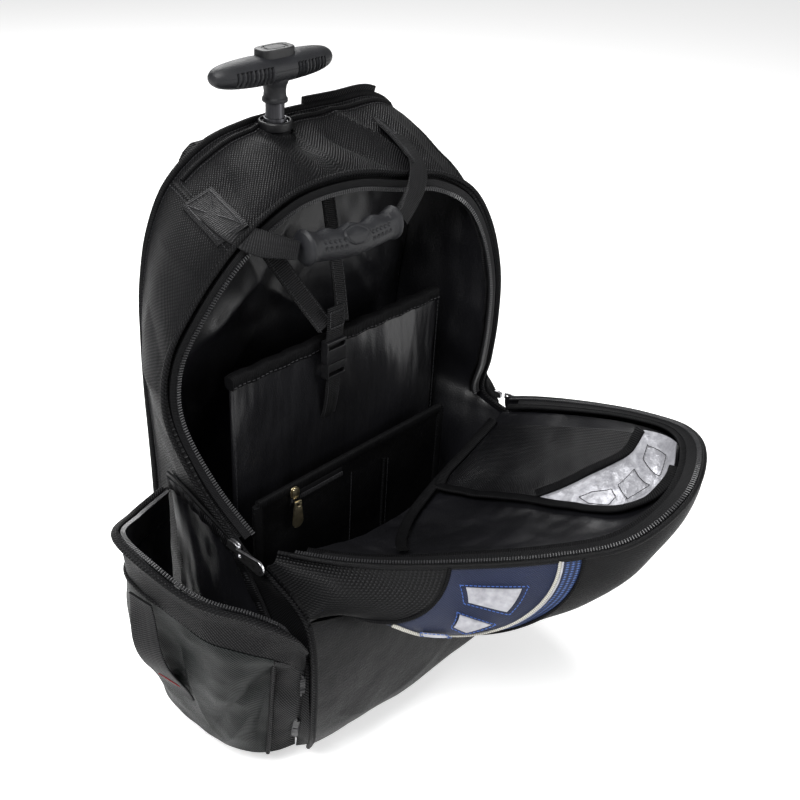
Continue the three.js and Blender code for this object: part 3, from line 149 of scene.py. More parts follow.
sewn_edge = spline([(row[0] * half_width, back_y, row[1] * bag_height) for row in wall_rows])
front_edge = spline([(row[2] * half_width, back_y - row[3] * bag_depth, row[4] * bag_height)
                     for row in wall_rows])


def unit(vectors):
    return vectors / np.maximum(np.linalg.norm(vectors, axis=-1, keepdims=True), 1e-9)


def outwards(points):
    """The way out of the bag, square to its depth."""
    return unit(points * (1, 0, 1) - (0, 0, bag_height / 2))


def main_wall(along, across):
    along, across = np.broadcast_arrays(np.asarray(along, float), across)
    sewn = sewn_edge(along)
    swell = wall_swell * 4 * across * (1 - across)
    for at_along, at_across, depth, reach_along, reach_across in wall_dents:
        swell = swell - depth * np.exp(-((along - at_along) / reach_along) ** 2
                                       - ((across - at_across) / reach_across) ** 2)
    flat = sewn + (front_edge(along) - sewn) * across[..., None]
    return flat + outwards(sewn) * swell[..., None]


def lattice(surface, u=(0, 1), v=(0, 1), steps=(40, 40)):
    """Points of a surface on an even net."""
    return surface(*np.meshgrid(np.linspace(*u, steps[0] + 1), np.linspace(*v, steps[1] + 1),
                                indexing="ij"))


def facing(points):
    """The surface's own normals."""
    return unit(np.cross(np.gradient(points, axis=0), np.gradient(points, axis=1)))


def ripple(points, size, height, seed=0):
    """Uneven swells of the given size all over a cloth."""
    shift = 7.3 * seed
    flat = points.reshape(-1, 3) / size + shift
    return height * np.array([noise.noise(place) for place in flat]).reshape(points.shape[:-1])


def crease(points, start, end, depth, reach):
    """The height of one fold that runs between two places and is sharp along its ridge."""
    start, end = np.asarray(start, float), np.asarray(end, float)
    run = end - start
    share = np.clip((points - start) @ run / (run @ run), 0, 1)
    distance = np.linalg.norm(points - start - share[..., None] * run, axis=-1)
    return depth * np.sin(math.pi * (0.1 + 0.8 * share)) * np.exp(-distance / reach)


def creases(net, surface, folds):
    """Folds on a net of a surface: start and end as places on it, depth and reach."""
    return sum(crease(net, *(surface(*np.array(place)) for place in (start, end)), depth, reach)
               for start, end, depth, reach in folds)


def piece(name, points, faces, materials, uv=None, face_materials=None, sharp=40):
    """A mesh of its points and faces, shaded smooth but for its sharp edges. uv gives each
    point its place on the cloth, in metres."""
    mesh = bpy.data.meshes.new(name)
    mesh.from_pydata(np.asarray(points, float).reshape(-1, 3).tolist(), [], faces)
    for material in materials:
        mesh.materials.append(material)
    if face_materials is not None:
        mesh.polygons.foreach_set("material_index", face_materials)
    if uv is not None:
        corners = np.empty(len(mesh.loops), np.int32)
        mesh.loops.foreach_get("vertex_index", corners)
        layer = mesh.uv_layers.new(name="cloth")
        layer.data.foreach_set("uv", np.asarray(uv, float).reshape(-1, 2)[corners].ravel())
    mesh.update()
    mesh.shade_smooth()
    mesh.set_sharp_from_angle(angle=math.radians(sharp))
    thing = bpy.data.objects.new(name, mesh)
    bpy.context.collection.objects.link(thing)
    return thing


def tube_faces(rows, count):
    """Faces of a tube of rings, one after another, with a cap at each end."""
    faces = [(i * count + k, i * count + (k + 1) % count,
              (i + 1) * count + (k + 1) % count, (i + 1) * count + k)
             for i in range(rows - 1) for k in range(count)]
    return faces + [tuple(range(count))[::-1], tuple(range((rows - 1) * count, rows * count))]


def spread(points):
    """How far each point of a net is along its rows and columns, in metres."""
    def run(axis):
        steps = np.linalg.norm(np.diff(points, axis=axis), axis=-1)
        return np.insert(np.cumsum(steps, axis=axis), 0, 0, axis=axis)
    middle = points.shape[1] // 2
    lengths = np.repeat(run(0)[:, middle:middle + 1], points.shape[1], axis=1)
    return np.stack([lengths, run(1)], axis=-1)


def cloth(name, points, materials, thick=cloth_thick, side=1, lift=None, keep=None):
    """A sewn cloth with a wall of its own on a net of points. side 1 grows it along the
    net's normals, side -1 against them and side 0 both ways; lift raises the cloth along
    them first. keep(middles) leaves faces out. The first material is on the net's own
    side of the cloth and the second, the lining's, on the side that it grew to."""
    normals = facing(points)
    if lift is not None:
        points = points + normals * lift[..., None]
        normals = facing(points)
    rows, columns = points.shape[:2]
    first = np.arange(rows * columns).reshape(rows, columns)
    quads = np.stack([first[:-1, :-1], first[1:, :-1], first[1:, 1:], first[:-1, 1:]], -1)
    quads = quads.reshape(-1, 4)
    flat = points.reshape(-1, 3)
    if keep is not None:
        quads = quads[keep(flat[quads].mean(axis=1))]
    low, high = {1: (0, thick), -1: (-thick, 0), 0: (-thick / 2, thick / 2)}[side]
    layers = [points + normals * low, points + normals * high]
    edges = np.sort(quads[:, [0, 1, 1, 2, 2, 3, 3, 0]].reshape(-1, 2), axis=1)
    loose, counts = np.unique(edges, axis=0, return_counts=True)
    open_edges = {tuple(edge) for edge in loose[counts == 1].tolist()}
    total = rows * columns
    rim = [(b, a, a + total, b + total)
           for quad in quads.tolist() for a, b in zip(quad, quad[1:] + quad[:1])
           if (min(a, b), max(a, b)) in open_edges]
    faces = quads[:, ::-1].tolist() + (quads + total).tolist() + [face[::-1] for face in rim]
    place = spread(points)
    own, far = (0, len(materials) - 1) if side >= 0 else (len(materials) - 1, 0)
    kinds = [own] * len(quads) + [far] * len(quads) + [0] * len(rim)
    return piece(name, np.concatenate([layer.reshape(-1, 3) for layer in layers]), faces,
                 materials, np.concatenate([place.reshape(-1, 2)] * 2), kinds)


def fit(thing, body, slot, *replaced):
    """Fixes a piece to its body and hides the CAD solids it stands for. slot is not used."""
    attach(thing, body)
    if replaced:
        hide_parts(*replaced)
    return thing


def finish(name, colour, roughness, **sockets):
    """A material with fixed colour, gloss and sheen, ready for its weave or grain."""
    material = bpy.data.materials.new(name)
    material.use_nodes = True
    shader = material.node_tree.nodes["Principled BSDF"]
    shader.inputs["Base Color"].default_value = (*colour, 1)
    shader.inputs["Roughness"].default_value = roughness
    for socket, value in sockets.items():
        shader.inputs[socket.replace("_", " ")].default_value = value
    return material


def maths(material, operation, *values):
    node = material.node_tree.nodes.new("ShaderNodeMath")
    node.operation = operation
    for socket, value in zip(node.inputs, values):
        if isinstance(value, bpy.types.NodeSocket):
            material.node_tree.links.new(value, socket)
        else:
            socket.default_value = value
    return node.outputs[0]


def cloth_place(material):
    """Where a point is on its cloth, in metres along and across."""
    tree = material.node_tree
    source = tree.nodes.new("ShaderNodeUVMap")
    source.uv_map = "cloth"
    parts = tree.nodes.new("ShaderNodeSeparateXYZ")
    tree.links.new(source.outputs["UV"], parts.inputs[0])
    return source.outputs["UV"], parts.outputs["X"], parts.outputs["Y"]


def solid_place(material):
    return material.node_tree.nodes.new("ShaderNodeTexCoord").outputs["Object"]


def cloud(material, place, scale, detail=3.0, stretch=(1, 1, 1)):
    """Noise of so many swells to a metre."""
    tree = material.node_tree
    mapping = tree.nodes.new("ShaderNodeMapping")
    mapping.inputs["Scale"].default_value = stretch
    texture = tree.nodes.new("ShaderNodeTexNoise")
    texture.inputs["Scale"].default_value = scale
    texture.inputs["Detail"].default_value = detail
    tree.links.new(place, mapping.inputs["Vector"])
    tree.links.new(mapping.outputs["Vector"], texture.inputs["Vector"])
    return texture.outputs["Fac"]


def wave(material, place, pitch):
    """A swell from 0 to 1 that repeats at a pitch."""
    turn = maths(material, "SINE", maths(material, "MULTIPLY", place, 2 * math.pi / pitch))
    return maths(material, "MULTIPLY_ADD", turn, 0.5, 0.5)


def tint(material, share, dark, light):
    """Colours the material between dark and light by a share."""
    tree = material.node_tree
    mix = tree.nodes.new("ShaderNodeMix")
    mix.data_type = "RGBA"
    mix.clamp_factor = True
    tree.links.new(share, mix.inputs["Factor"])
    mix.inputs[6].default_value = (*dark, 1)
    mix.inputs[7].default_value = (*light, 1)
    tree.links.new(mix.outputs[2], tree.nodes["Principled BSDF"].inputs["Base Color"])


def gloss(material, share, low, high):
    spread_gloss = maths(material, "MULTIPLY_ADD", share, high - low, low)
    material.node_tree.links.new(
        spread_gloss, material.node_tree.nodes["Principled BSDF"].inputs["Roughness"])


def relief(material, *heights):
    """Bumps, each a height socket and its depth in metres, one on another."""
    tree = material.node_tree
    normal = None
    for height, depth in heights:
        bump = tree.nodes.new("ShaderNodeBump")
        bump.inputs["Distance"].default_value = depth
        tree.links.new(height, bump.inputs["Height"])
        if normal is not None:
            tree.links.new(normal, bump.inputs["Normal"])
        normal = bump.outputs["Normal"]
    tree.links.new(normal, tree.nodes["Principled BSDF"].inputs["Normal"])


def diagonal_weave(material, pitch, tilt=1.0):
    """Heavy yarns on the bias, each broken where it passes under the next."""
    _, along, across = cloth_place(material)
    bias = maths(material, "MULTIPLY_ADD", across, tilt, along)
    cross = maths(material, "MULTIPLY_ADD", across, -tilt, along)
    return maths(material, "MULTIPLY", wave(material, bias, pitch),
                 maths(material, "MULTIPLY_ADD", wave(material, cross, pitch), 0.6, 0.4))


def woven(name, colour, roughness, specular, pitch, wear, tones, depths, grain=None, glosses=None):
    """Cloth of yarns on the bias, unevenly worn. depths are those of its weave and wear;
    grain is a finer noise's scale and depth, and glosses are shared out by the finest."""
    material = finish(name, colour, roughness, Specular_IOR_Level=specular)
    weave = finest = diagonal_weave(material, pitch)
    worn = cloud(material, solid_place(material), wear)
    # Painted highlights: the colour is lighter on the weave's raised yarns, mixed with the wear's uneven
    # tone, which is the cloth's own
    tint(material, maths(material, "MULTIPLY", weave, worn), *tones)
    heights = [(weave, depths[0]), (worn, depths[1])]
    if grain:
        finest = cloud(material, solid_place(material), grain[0], 1.0)
        heights.insert(1, (finest, grain[1]))
    if glosses:
        gloss(material, finest, *glosses)
    relief(material, *heights)
    return material


def clouded(name, colour, roughness, layers, tones, glosses=None, tinted=0, glossed=0, **sockets):
    """A material of noise alone. Each layer is its bump's depth or None, scale, detail
    and stretch; tinted and glossed name the layers that share out tones and glosses."""
    material = finish(name, colour, roughness, **sockets)
    clouds = [cloud(material, solid_place(material), *layer[1:]) for layer in layers]
    tint(material, clouds[tinted], *tones)
    if glosses:
        gloss(material, clouds[glossed], *glosses)
    relief(material, *[(height, layer[0]) for height, layer in zip(clouds, layers) if layer[0]])
    return material


ribbed_nylon = woven("ribbed_nylon", (0.008, 0.008, 0.009), 0.5, 0.12, 0.0030, 9,
                     ((0.0008, 0.0008, 0.0010), (0.015, 0.015, 0.017)), (0.0007, 0.004),
                     glosses=(0.68, 0.34))
satin_lining = clouded("satin_lining", (0.005, 0.005, 0.006), 0.36,
                       ((0.012, 17, 2.0, (1, 1, 0.45)), (0.00018, 900, 1.0)),
                       ((0.0010, 0.0010, 0.0013), (0.007, 0.007, 0.009)), (0.30, 0.46),
                       glossed=1, Specular_IOR_Level=0.5)

wall_net = lattice(main_wall, steps=(440, 72))
wall_lift = (ripple(wall_net, 0.080, 0.0042) + ripple(wall_net, 0.030, 0.0016, 1))
# Folds of the top and left side: start and end along and across the wall, depth, reach
wall_folds = (
    ((0.528, 0.12), (0.556, 0.86), 0.0090, 0.007), ((0.492, 0.15), (0.478, 0.80), -0.0060, 0.010),
    ((0.512, 0.35), (0.535, 0.90), -0.0085, 0.007), ((0.455, 0.30), (0.462, 0.85), 0.0055, 0.009),
    ((0.420, 0.25), (0.405, 0.85), -0.0045, 0.010), ((0.575, 0.30), (0.590, 0.90), 0.0040, 0.009),
    ((0.340, 0.25), (0.352, 0.95), 0.0050, 0.009), ((0.300, 0.40), (0.285, 1.00), -0.0030, 0.012),
    ((0.250, 0.20), (0.262, 0.90), 0.0042, 0.010), ((0.215, 0.30), (0.205, 1.00), -0.0030, 0.012),
)
wall_lift += creases(wall_net, main_wall, wall_folds)
edge_share = np.linspace(0, 1, 73)[None, :]
wall_lift *= np.minimum(1, 6 * edge_share) * np.minimum(1, 0.35 + 5 * (1 - edge_share))

well_front, well_inner, well_top = 0.1306, 0.0836, 0.0784
pole_place = np.array((0.0, back_y - 0.0165))
collar_hole = 0.0139


def clear_of_wells(middles):
    in_well = ((middles[:, 1] > well_front) & (np.abs(middles[:, 0]) > well_inner)
               & (middles[:, 2] < well_top))
    at_pole = np.linalg.norm(middles[:, :2] - pole_place, axis=1) < collar_hole
    return ~(in_well | (at_pole & (middles[:, 2] > 0.4)))


# The net's own lines are drawn to the wheel wells, and its ring at the pole to the hole
for axis, limit in ((1, well_front), (2, well_top)):
    near = np.abs(wall_net[..., axis] - limit) < 0.0017
    near &= (wall_net[..., 2] < 0.09) & (wall_net[..., 1] > well_front - 0.004)
    wall_net[..., axis] = np.where(near, limit, wall_net[..., axis])
from_pole = wall_net[..., :2] - pole_place
pole_distance = np.linalg.norm(from_pole, axis=-1)
ring = (np.abs(pole_distance - collar_hole) < 0.0022) & (wall_net[..., 2] > 0.4)
wall_net[..., :2] = np.where(ring[..., None], pole_place + unit(from_pole) * (collar_hole + 0.0004),
                             wall_net[..., :2])
wall_lift[ring] = 0
fit(cloth("main_wall_cloth", wall_net, [ribbed_nylon, satin_lining], lift=-wall_lift,
          keep=clear_of_wells), "root", "ribbed_nylon", "main_gusset")

wall_skin = wall_net - facing(wall_net) * wall_lift[..., None]


def on_wall(along, across, lift=0.0):
    """A point on the rippled wall's outer face, raised off it by lift."""
    rows, columns = wall_skin.shape[0] - 1, wall_skin.shape[1] - 1
    u, v = np.broadcast_arrays(np.clip(along, 0, 1) * rows, np.clip(across, 0, 1) * columns)
    i, k = np.minimum(u.astype(int), rows - 1), np.minimum(v.astype(int), columns - 1)
    du, dv = (u - i)[..., None], (v - k)[..., None]
    point = ((wall_skin[i, k] * (1 - du) + wall_skin[i + 1, k] * du) * (1 - dv)
             + (wall_skin[i, k + 1] * (1 - du) + wall_skin[i + 1, k + 1] * du) * dv)
    return point + outwards(point) * lift


# Opening: the wall's front edge is turned round a cord, and the zip's tape is sewn inside
# it from slider to slider. The coil of teeth stands on the tape's free edge, and a
# binding covers the seam within.
hinge_row = 4
tape_wide, tape_thick, tape_inset = 0.009, 0.0018, 0.002
tooth_pitch = 0.0021


def sweep(name, path, side, section, material):
    """Draws a section, given as (across, up) pairs, along a path. side is the way across
    at each point of the path, or at all of them."""
    path = np.asarray(path, float)
    tangent = unit(np.gradient(path, axis=0))
    side = np.broadcast_to(side, path.shape)
    side = unit(side - tangent * np.sum(side * tangent, axis=-1, keepdims=True))
    up = np.cross(tangent, side)
    section = np.asarray(section, float)
    if section.ndim == 2:
        section = np.repeat(section[None], len(path), axis=0)
    points = (path[:, None] + side[:, None] * section[..., :1] + up[:, None] * section[..., 1:])
    rows, count = section.shape[:2]
    girth = np.cumsum(np.linalg.norm(np.diff(section, axis=1, append=section[:, :1]), axis=-1), axis=1)
    run = np.insert(np.cumsum(np.linalg.norm(np.diff(path, axis=0), axis=-1)), 0, 0)
    uv = np.stack([np.repeat(run[:, None], count, axis=1), girth], axis=-1)
    return outside_out(piece(name, points, tube_faces(rows, count), [material], uv, sharp=50))


def outside_out(thing):
    """Turns a closed mesh's faces outwards."""
    work = bmesh.new()
    work.from_mesh(thing.data)
    if work.calc_volume(signed=True) < 0:
        bmesh.ops.reverse_faces(work, faces=work.faces)
    work.to_mesh(thing.data)
    work.free()
    return thing


def round_section(wide, tall, sides=10, squareness=1.0):
    """An oval section; squareness above 1 flattens it like webbing."""
    angle = np.arange(sides) * 2 * math.pi / sides
    shape = np.stack([np.cos(angle), np.sin(angle)], -1)
    return np.sign(shape) * np.abs(shape) ** (1 / squareness) * (wide / 2, tall / 2)


webbing_profile = [(-0.5, -0.25), (-0.5, 0.25), (-0.46, 0.5), (-0.3, 0.5), (0, 0.5), (0.3, 0.5),
                   (0.46, 0.5), (0.5, 0.25), (0.5, -0.25), (0.46, -0.5), (0.3, -0.5), (0, -0.5),
                   (-0.3, -0.5), (-0.46, -0.5)]


def webbing_section(wide, thick):
    return np.array(webbing_profile) * (wide, thick)


def row_maker():
    """The node tree that stands a small rod on every point of a row, laid along the
    point's own direction: zip teeth and stitches."""
    tree = bpy.data.node_groups.new("rods_on_points", "GeometryNodeTree")
    face = tree.interface
    face.new_socket("Geometry", in_out="INPUT", socket_type="NodeSocketGeometry")
    for name, kind in (("Rod length", "Float"), ("Rod radius", "Float"), ("Rod sides", "Int"),
                       ("Finish", "Material")):
        face.new_socket(name, in_out="INPUT", socket_type=f"NodeSocket{kind}")
    face.new_socket("Geometry", in_out="OUTPUT", socket_type="NodeSocketGeometry")
    make = tree.nodes.new
    source, result = make("NodeGroupInput"), make("NodeGroupOutput")
    rod = make("GeometryNodeMeshCylinder")
    direction = make("GeometryNodeInputNamedAttribute")
    direction.data_type = "FLOAT_VECTOR"
    direction.inputs["Name"].default_value = "lies_along"
    align = make("FunctionNodeAlignRotationToVector")
    align.axis = "Z"
    place, real, painted = (make(kind) for kind in (
        "GeometryNodeInstanceOnPoints", "GeometryNodeRealizeInstances", "GeometryNodeSetMaterial"))
    for out, into in (
            (source.outputs["Rod length"], rod.inputs["Depth"]),
            (source.outputs["Rod radius"], rod.inputs["Radius"]),
            (source.outputs["Rod sides"], rod.inputs["Vertices"]),
            (direction.outputs["Attribute"], align.inputs["Vector"]),
            (source.outputs["Geometry"], place.inputs["Points"]),
            (rod.outputs["Mesh"], place.inputs["Instance"]),
            (align.outputs["Rotation"], place.inputs["Rotation"]),
            (place.outputs["Instances"], real.inputs["Geometry"]),
            (real.outputs["Geometry"], painted.inputs["Geometry"]),
            (source.outputs["Finish"], painted.inputs["Material"]),
            (painted.outputs["Geometry"], result.inputs["Geometry"])):
        tree.links.new(out, into)
    return tree


rods_on_points = row_maker()


def rods(name, points, lies_along, length, radius, material, sides=6):
    """Rods on points, as one mesh."""
    mesh = bpy.data.meshes.new(name + "_points")
    mesh.from_pydata(np.asarray(points, float).reshape(-1, 3).tolist(), [], [])
    direction = mesh.attributes.new("lies_along", "FLOAT_VECTOR", "POINT")
    direction.data.foreach_set("vector", np.asarray(lies_along, float).ravel())
    holder = bpy.data.objects.new(name + "_points", mesh)
    bpy.context.collection.objects.link(holder)
    modifier = holder.modifiers.new("rods", "NODES")
    modifier.node_group = rods_on_points
    values = {"Rod length": length, "Rod radius": radius, "Rod sides": sides, "Finish": material}
    for item in rods_on_points.interface.items_tree:
        if item.in_out == "INPUT" and item.name in values:
            modifier[item.identifier] = values[item.name]
    ready = holder.evaluated_get(bpy.context.evaluated_depsgraph_get())
    thing = bpy.data.objects.new(name, bpy.data.meshes.new_from_object(ready))
    bpy.data.objects.remove(holder)
    bpy.context.collection.objects.link(thing)
    if not thing.data.materials:
        thing.data.materials.append(material)
    thing.data.shade_smooth()
    thing.data.set_sharp_from_angle(angle=math.radians(50))
    return thing


def even_places(path, pitch):
    """Points at an even pitch along a path, with the path's direction at each."""
    path = np.asarray(path, float)
    run = np.insert(np.cumsum(np.linalg.norm(np.diff(path, axis=0), axis=-1)), 0, 0)
    stations = np.arange(pitch / 2, run[-1], pitch)
    points = np.stack([np.interp(stations, run, path[:, k]) for k in range(3)], -1)
    return points, unit(np.gradient(points, axis=0))


def stitch_row(name, path, material, pitch=0.0034, length=0.0023, radius=0.00028):
    points, along = even_places(path, pitch)
    return rods(name, points, along, length, radius, material, 5)


zip_tape = finish("zip_tape", (0.006, 0.006, 0.006), 0.55, Specular_IOR_Level=0.15)
tape_ribs = wave(zip_tape, cloth_place(zip_tape)[1], 0.0012)
tint(zip_tape, tape_ribs, (0.0014, 0.0014, 0.0016), (0.007, 0.007, 0.008))
relief(zip_tape, (tape_ribs, 0.0003))

coil_teeth = clouded("coil_teeth", (0.020, 0.020, 0.022), 0.30, ((0.0002, 240),),
                     ((0.008, 0.008, 0.009), (0.036, 0.036, 0.038)), Coat_Weight=0.3, Coat_Roughness=0.2)

binding = finish("binding", (0.006, 0.006, 0.007), 0.6, Specular_IOR_Level=0.08)
binding_ribs = wave(binding, cloth_place(binding)[1], 0.0017)
binding_puckers = cloud(binding, solid_place(binding), 120)
tint(binding, maths(binding, "MULTIPLY", binding_ribs, binding_puckers),
     (0.0010, 0.0010, 0.0012), (0.009, 0.009, 0.010))
relief(binding, (binding_ribs, 0.00030), (binding_puckers, 0.0006))


def coil(name, path, square_to, length=0.0034, radius=0.00075):
    """Zip teeth in a row along a path, each square to it and to square_to."""
    points, run = even_places(path, tooth_pitch)
    fit(rods(name, points, unit(np.cross(run, square_to)), length, radius, coil_teeth, 8),
        "root", "zip_tape")


zip_shares = np.linspace(hinge_row / last_row, 1 - hinge_row / last_row, 260)


def opening_tape(share, across):
    edge = front_edge(share)
    return edge - outwards(edge) * (wall_step + tape_inset + np.asarray(across)[..., None] * tape_wide)


fit(cloth("opening_tape", lattice(opening_tape, (zip_shares[0], zip_shares[-1]), steps=(300, 4)),
          [zip_tape], tape_thick, 0), "root", "zip_tape", "opening_zip_tape")
teeth_path = opening_tape(zip_shares, np.full(260, 0.86)) - (0, 0.0015, 0)
coil("opening_teeth", teeth_path, (0, 1, 0), radius=0.00078)

cord_path = front_edge(np.linspace(0.0, 1.0, 420))
cord_path = cord_path + outwards(cord_path) * 0.0012
fit(sweep("edge_piping", cord_path, outwards(cord_path),
          round_section(0.0042, 0.0042), ribbed_nylon), "root", "ribbed_nylon")
inner_binding = opening_tape(zip_shares, np.full(260, 0.15)) + (0, 0.0046, 0)
pucker = 0.001 + ripple(inner_binding, 0.013, 0.0016, 20)
inner_binding = inner_binding - outwards(inner_binding) * pucker[:, None]
fit(sweep("opening_binding", inner_binding, outwards(inner_binding), round_section(0.0120, 0.0024, 12, 1.6),
          binding), "root", "zip_tape")

# Seams of the wall: the top panel is pieced, so two seams cross it with a row of
# topstitching on each side, and a piped seam runs along the back.
thread = clouded("thread", (0.012, 0.012, 0.013), 0.5, ((0.0001, 1500),),
                 ((0.006, 0.006, 0.007), (0.030, 0.030, 0.033)), Specular_IOR_Level=0.3)

for number, seam_at in enumerate((0.379, 0.622)):
    shares = np.linspace(0.06, 0.985, 60)
    seam_path = on_wall(np.full(60, seam_at), shares)
    seam_out = outwards(seam_path)
    fit(sweep(f"wall_seam_{number}", seam_path + seam_out * 0.0002, np.cross(seam_out, (0, 1, 0)),
              round_section(0.0030, 0.0016), ribbed_nylon), "root", "ribbed_nylon")
    for side in (-0.0036, 0.0036):
        offset = unit(np.cross(seam_out, (0, 1, 0))) * side
        fit(stitch_row(f"wall_seam_{number}_stitches_{'in' if side < 0 else 'out'}",
                       seam_path + seam_out * 0.0005 + offset, thread), "root", "ribbed_nylon")

rear_shares = np.linspace(0.06, 0.94, 360)
rear_shares = rear_shares[(main_wall(rear_shares, 0.04)[:, 2] > 0.086)]
for name, across, radius in (("back_piping", 0.018, 0.0030), ("yoke_piping", 0.135, 0.0020)):
    shares = rear_shares if name == "back_piping" else np.linspace(0.385, 0.60, 140)
    path = on_wall(shares, np.full(len(shares), across), 0.0006)
    fit(sweep(name, path, outwards(path), round_section(2 * radius, 2 * radius), binding),
        "root", "ribbed_nylon")
    fit(stitch_row(name + "_stitches", on_wall(shares, np.full(len(shares), across + 0.045), 0.0005), thread),
        "root", "ribbed_nylon")
yoke = on_wall(np.linspace(0.512, 0.590, 60), np.full(60, 0.004), 0.0030)
fit(sweep("yoke_tab", yoke + (0, 0.001, 0), (0, 1.0, 0),
          round_section(0.0030, 0.0110, 14, 2.2), ribbed_nylon), "root", "ribbed_nylon")

# Back panel: stiffened foam board behind smooth nylon, sewn between the walls, with
# padded ribs. In front of the pole hangs the compartment's satin rear lining.
smooth_nylon = woven("smooth_nylon", (0.006, 0.006, 0.007), 0.46, 0.13, 0.0016, 14,
                     ((0.0009, 0.0009, 0.0011), (0.008, 0.008, 0.009)), (0.00022, 0.006),
                     (620, 0.00035), (0.36, 0.54))
board_thick, lining_front, panel_bottom = 0.005, 0.150, 0.084


def bag_outline(distance, inset, lowest, count=160):
    """The outline of the bag's inside, as x and z, a distance in front of the back panel."""
    shares = np.linspace(0, 1, count)
    depth = back_y - front_edge(shares)[:, 1]
    points = main_wall(shares, distance / depth)
    points = points - outwards(points) * inset
    points = points[points[:, 2] > lowest][:, [0, 2]]
    base = np.linspace(points[-1, 0], points[0, 0], 40)[1:-1]
    corners = [(points[-1, 0], lowest)] + [(x, lowest) for x in base] + [(points[0, 0], lowest)]
    return np.vstack([points, corners])


def board(name, outline, near, far, material, face_lift, rings=44):
    """An upright plate between two planes. Its rings close in from the outline to its
    middle; face_lift raises its near face."""
    shares = np.linspace(0, 1, rings) ** 0.8
    net = outline[None] + (outline.mean(axis=0) - outline)[None] * shares[:, None, None]
    lift = face_lift(net[..., 0], net[..., 1]) * np.minimum(1, np.arange(rings) / 3)[:, None]

    def layer(level, raised):
        return np.stack([net[..., 0], level + raised, net[..., 1]], -1)
    points = np.concatenate([layer(near, lift), layer(far, 0 * lift)[::-1]]).reshape(-1, 3)
    uv = np.concatenate([net, net[::-1]]).reshape(-1, 2)
    thing = piece(name, points, tube_faces(2 * rings, len(outline))[:-2], [material], uv)
    work = bmesh.new()
    work.from_mesh(thing.data)
    bmesh.ops.remove_doubles(work, verts=work.verts, dist=1e-6)
    work.to_mesh(thing.data)
    work.free()
    thing.data.set_sharp_from_angle(angle=math.radians(40))
    return outside_out(thing)


def padded_ribs(x, z):
    """Upright channels pressed into the back panel's padding."""
    inside = np.exp(-((x - 0.005) / 0.105) ** 6) * np.exp(-((z - 0.26) / 0.15) ** 6)
    return 0.006 * inside * (1 - np.exp(-(((x - 0.005) / 0.052 + 100.5) % 1 - 0.5) ** 2 / 0.012))


panel_outline = bag_outline(board_thick / 2, cloth_thick - 0.0006, panel_bottom)
fit(board("back_panel_pad", panel_outline, back_y, back_y - board_thick, smooth_nylon, padded_ribs),
    "root", "smooth_nylon", "back_panel")

lining_folds = (  # start x and z, end x and z, depth, reach
    ((-0.035, 0.345), (-0.110, 0.300), 0.006, 0.010), ((-0.035, 0.345), (0.020, 0.300), 0.005, 0.011),
    ((-0.035, 0.345), (-0.060, 0.400), 0.005, 0.009), ((-0.035, 0.345), (0.010, 0.410), 0.004, 0.009),
    ((0.040, 0.380), (0.110, 0.310), 0.006, 0.012), ((0.060, 0.420), (0.115, 0.390), 0.004, 0.010),
    ((-0.090, 0.250), (-0.040, 0.300), 0.004, 0.012), ((0.070, 0.330), (0.120, 0.250), 0.005, 0.012),
)


def lining_relief(x, z):
    flat = np.stack([x, z], -1)
    height = sum(crease(flat, start, end, depth, reach) for start, end, depth, reach in lining_folds)
    solid = np.stack([x, 0 * x, z], -1)
    height = height + ripple(solid, 0.06, 0.004, 2) + ripple(solid, 0.022, 0.0012, 3)
    return -np.clip(height, -0.002, 0.012)


lining_outline = bag_outline(back_y - lining_front + cloth_thick / 2, cloth_thick + 0.0043, 0.0840)
fit(board("rear_lining_cloth", lining_outline, lining_front - cloth_thick, lining_front, satin_lining,
          lining_relief, rings=70), "root", "satin_lining", "rear_lining")

# Base: the cloth floor lies in a moulded tray whose kick plate stands between the
# wheels. A skid foot under its front holds the bag level.
black_plastic = clouded("black_plastic", (0.010, 0.010, 0.011), 0.42,
                        ((0.00012, 1400, 2.0), (0.0006, 30)),
                        ((0.002, 0.002, 0.0024), (0.007, 0.007, 0.008)), (0.34, 0.52), 1, 1,
                        Specular_IOR_Level=0.35)


def moulded(name, node, material, edge=0.0012):
    """A CAD solid with its edges rounded as a mould leaves them."""
    work = bmesh.new()
    work.from_mesh(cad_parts[node].data)
    bmesh.ops.remove_doubles(work, verts=work.verts, dist=2e-5)
    bmesh.ops.dissolve_limit(work, angle_limit=math.radians(2), verts=work.verts, edges=work.edges)
    corners = [e for e in work.edges if len(e.link_faces) == 2 and e.calc_face_angle(0) > 0.5]
    bmesh.ops.bevel(work, geom=corners, offset=edge, segments=3, profile=0.6, affect="EDGES",
                    clamp_overlap=True)
    mesh = bpy.data.meshes.new(name)
    work.to_mesh(mesh)
    work.free()
    mesh.materials.clear()
    mesh.materials.append(material)
    mesh.shade_smooth()
    mesh.set_sharp_from_angle(angle=math.radians(35))
    thing = bpy.data.objects.new(name, mesh)
    bpy.context.collection.objects.link(thing)
    return thing


fit(moulded("cloth_floor", "floor_panel", smooth_nylon, 0.0008), "root", "smooth_nylon", "floor_panel")
fit(moulded("moulded_tray", "base_tray", black_plastic), "root", "black_plastic", "base_tray")
fit(moulded("front_foot", "skid_foot", black_plastic, 0.0020), "root", "black_plastic", "skid_foot")

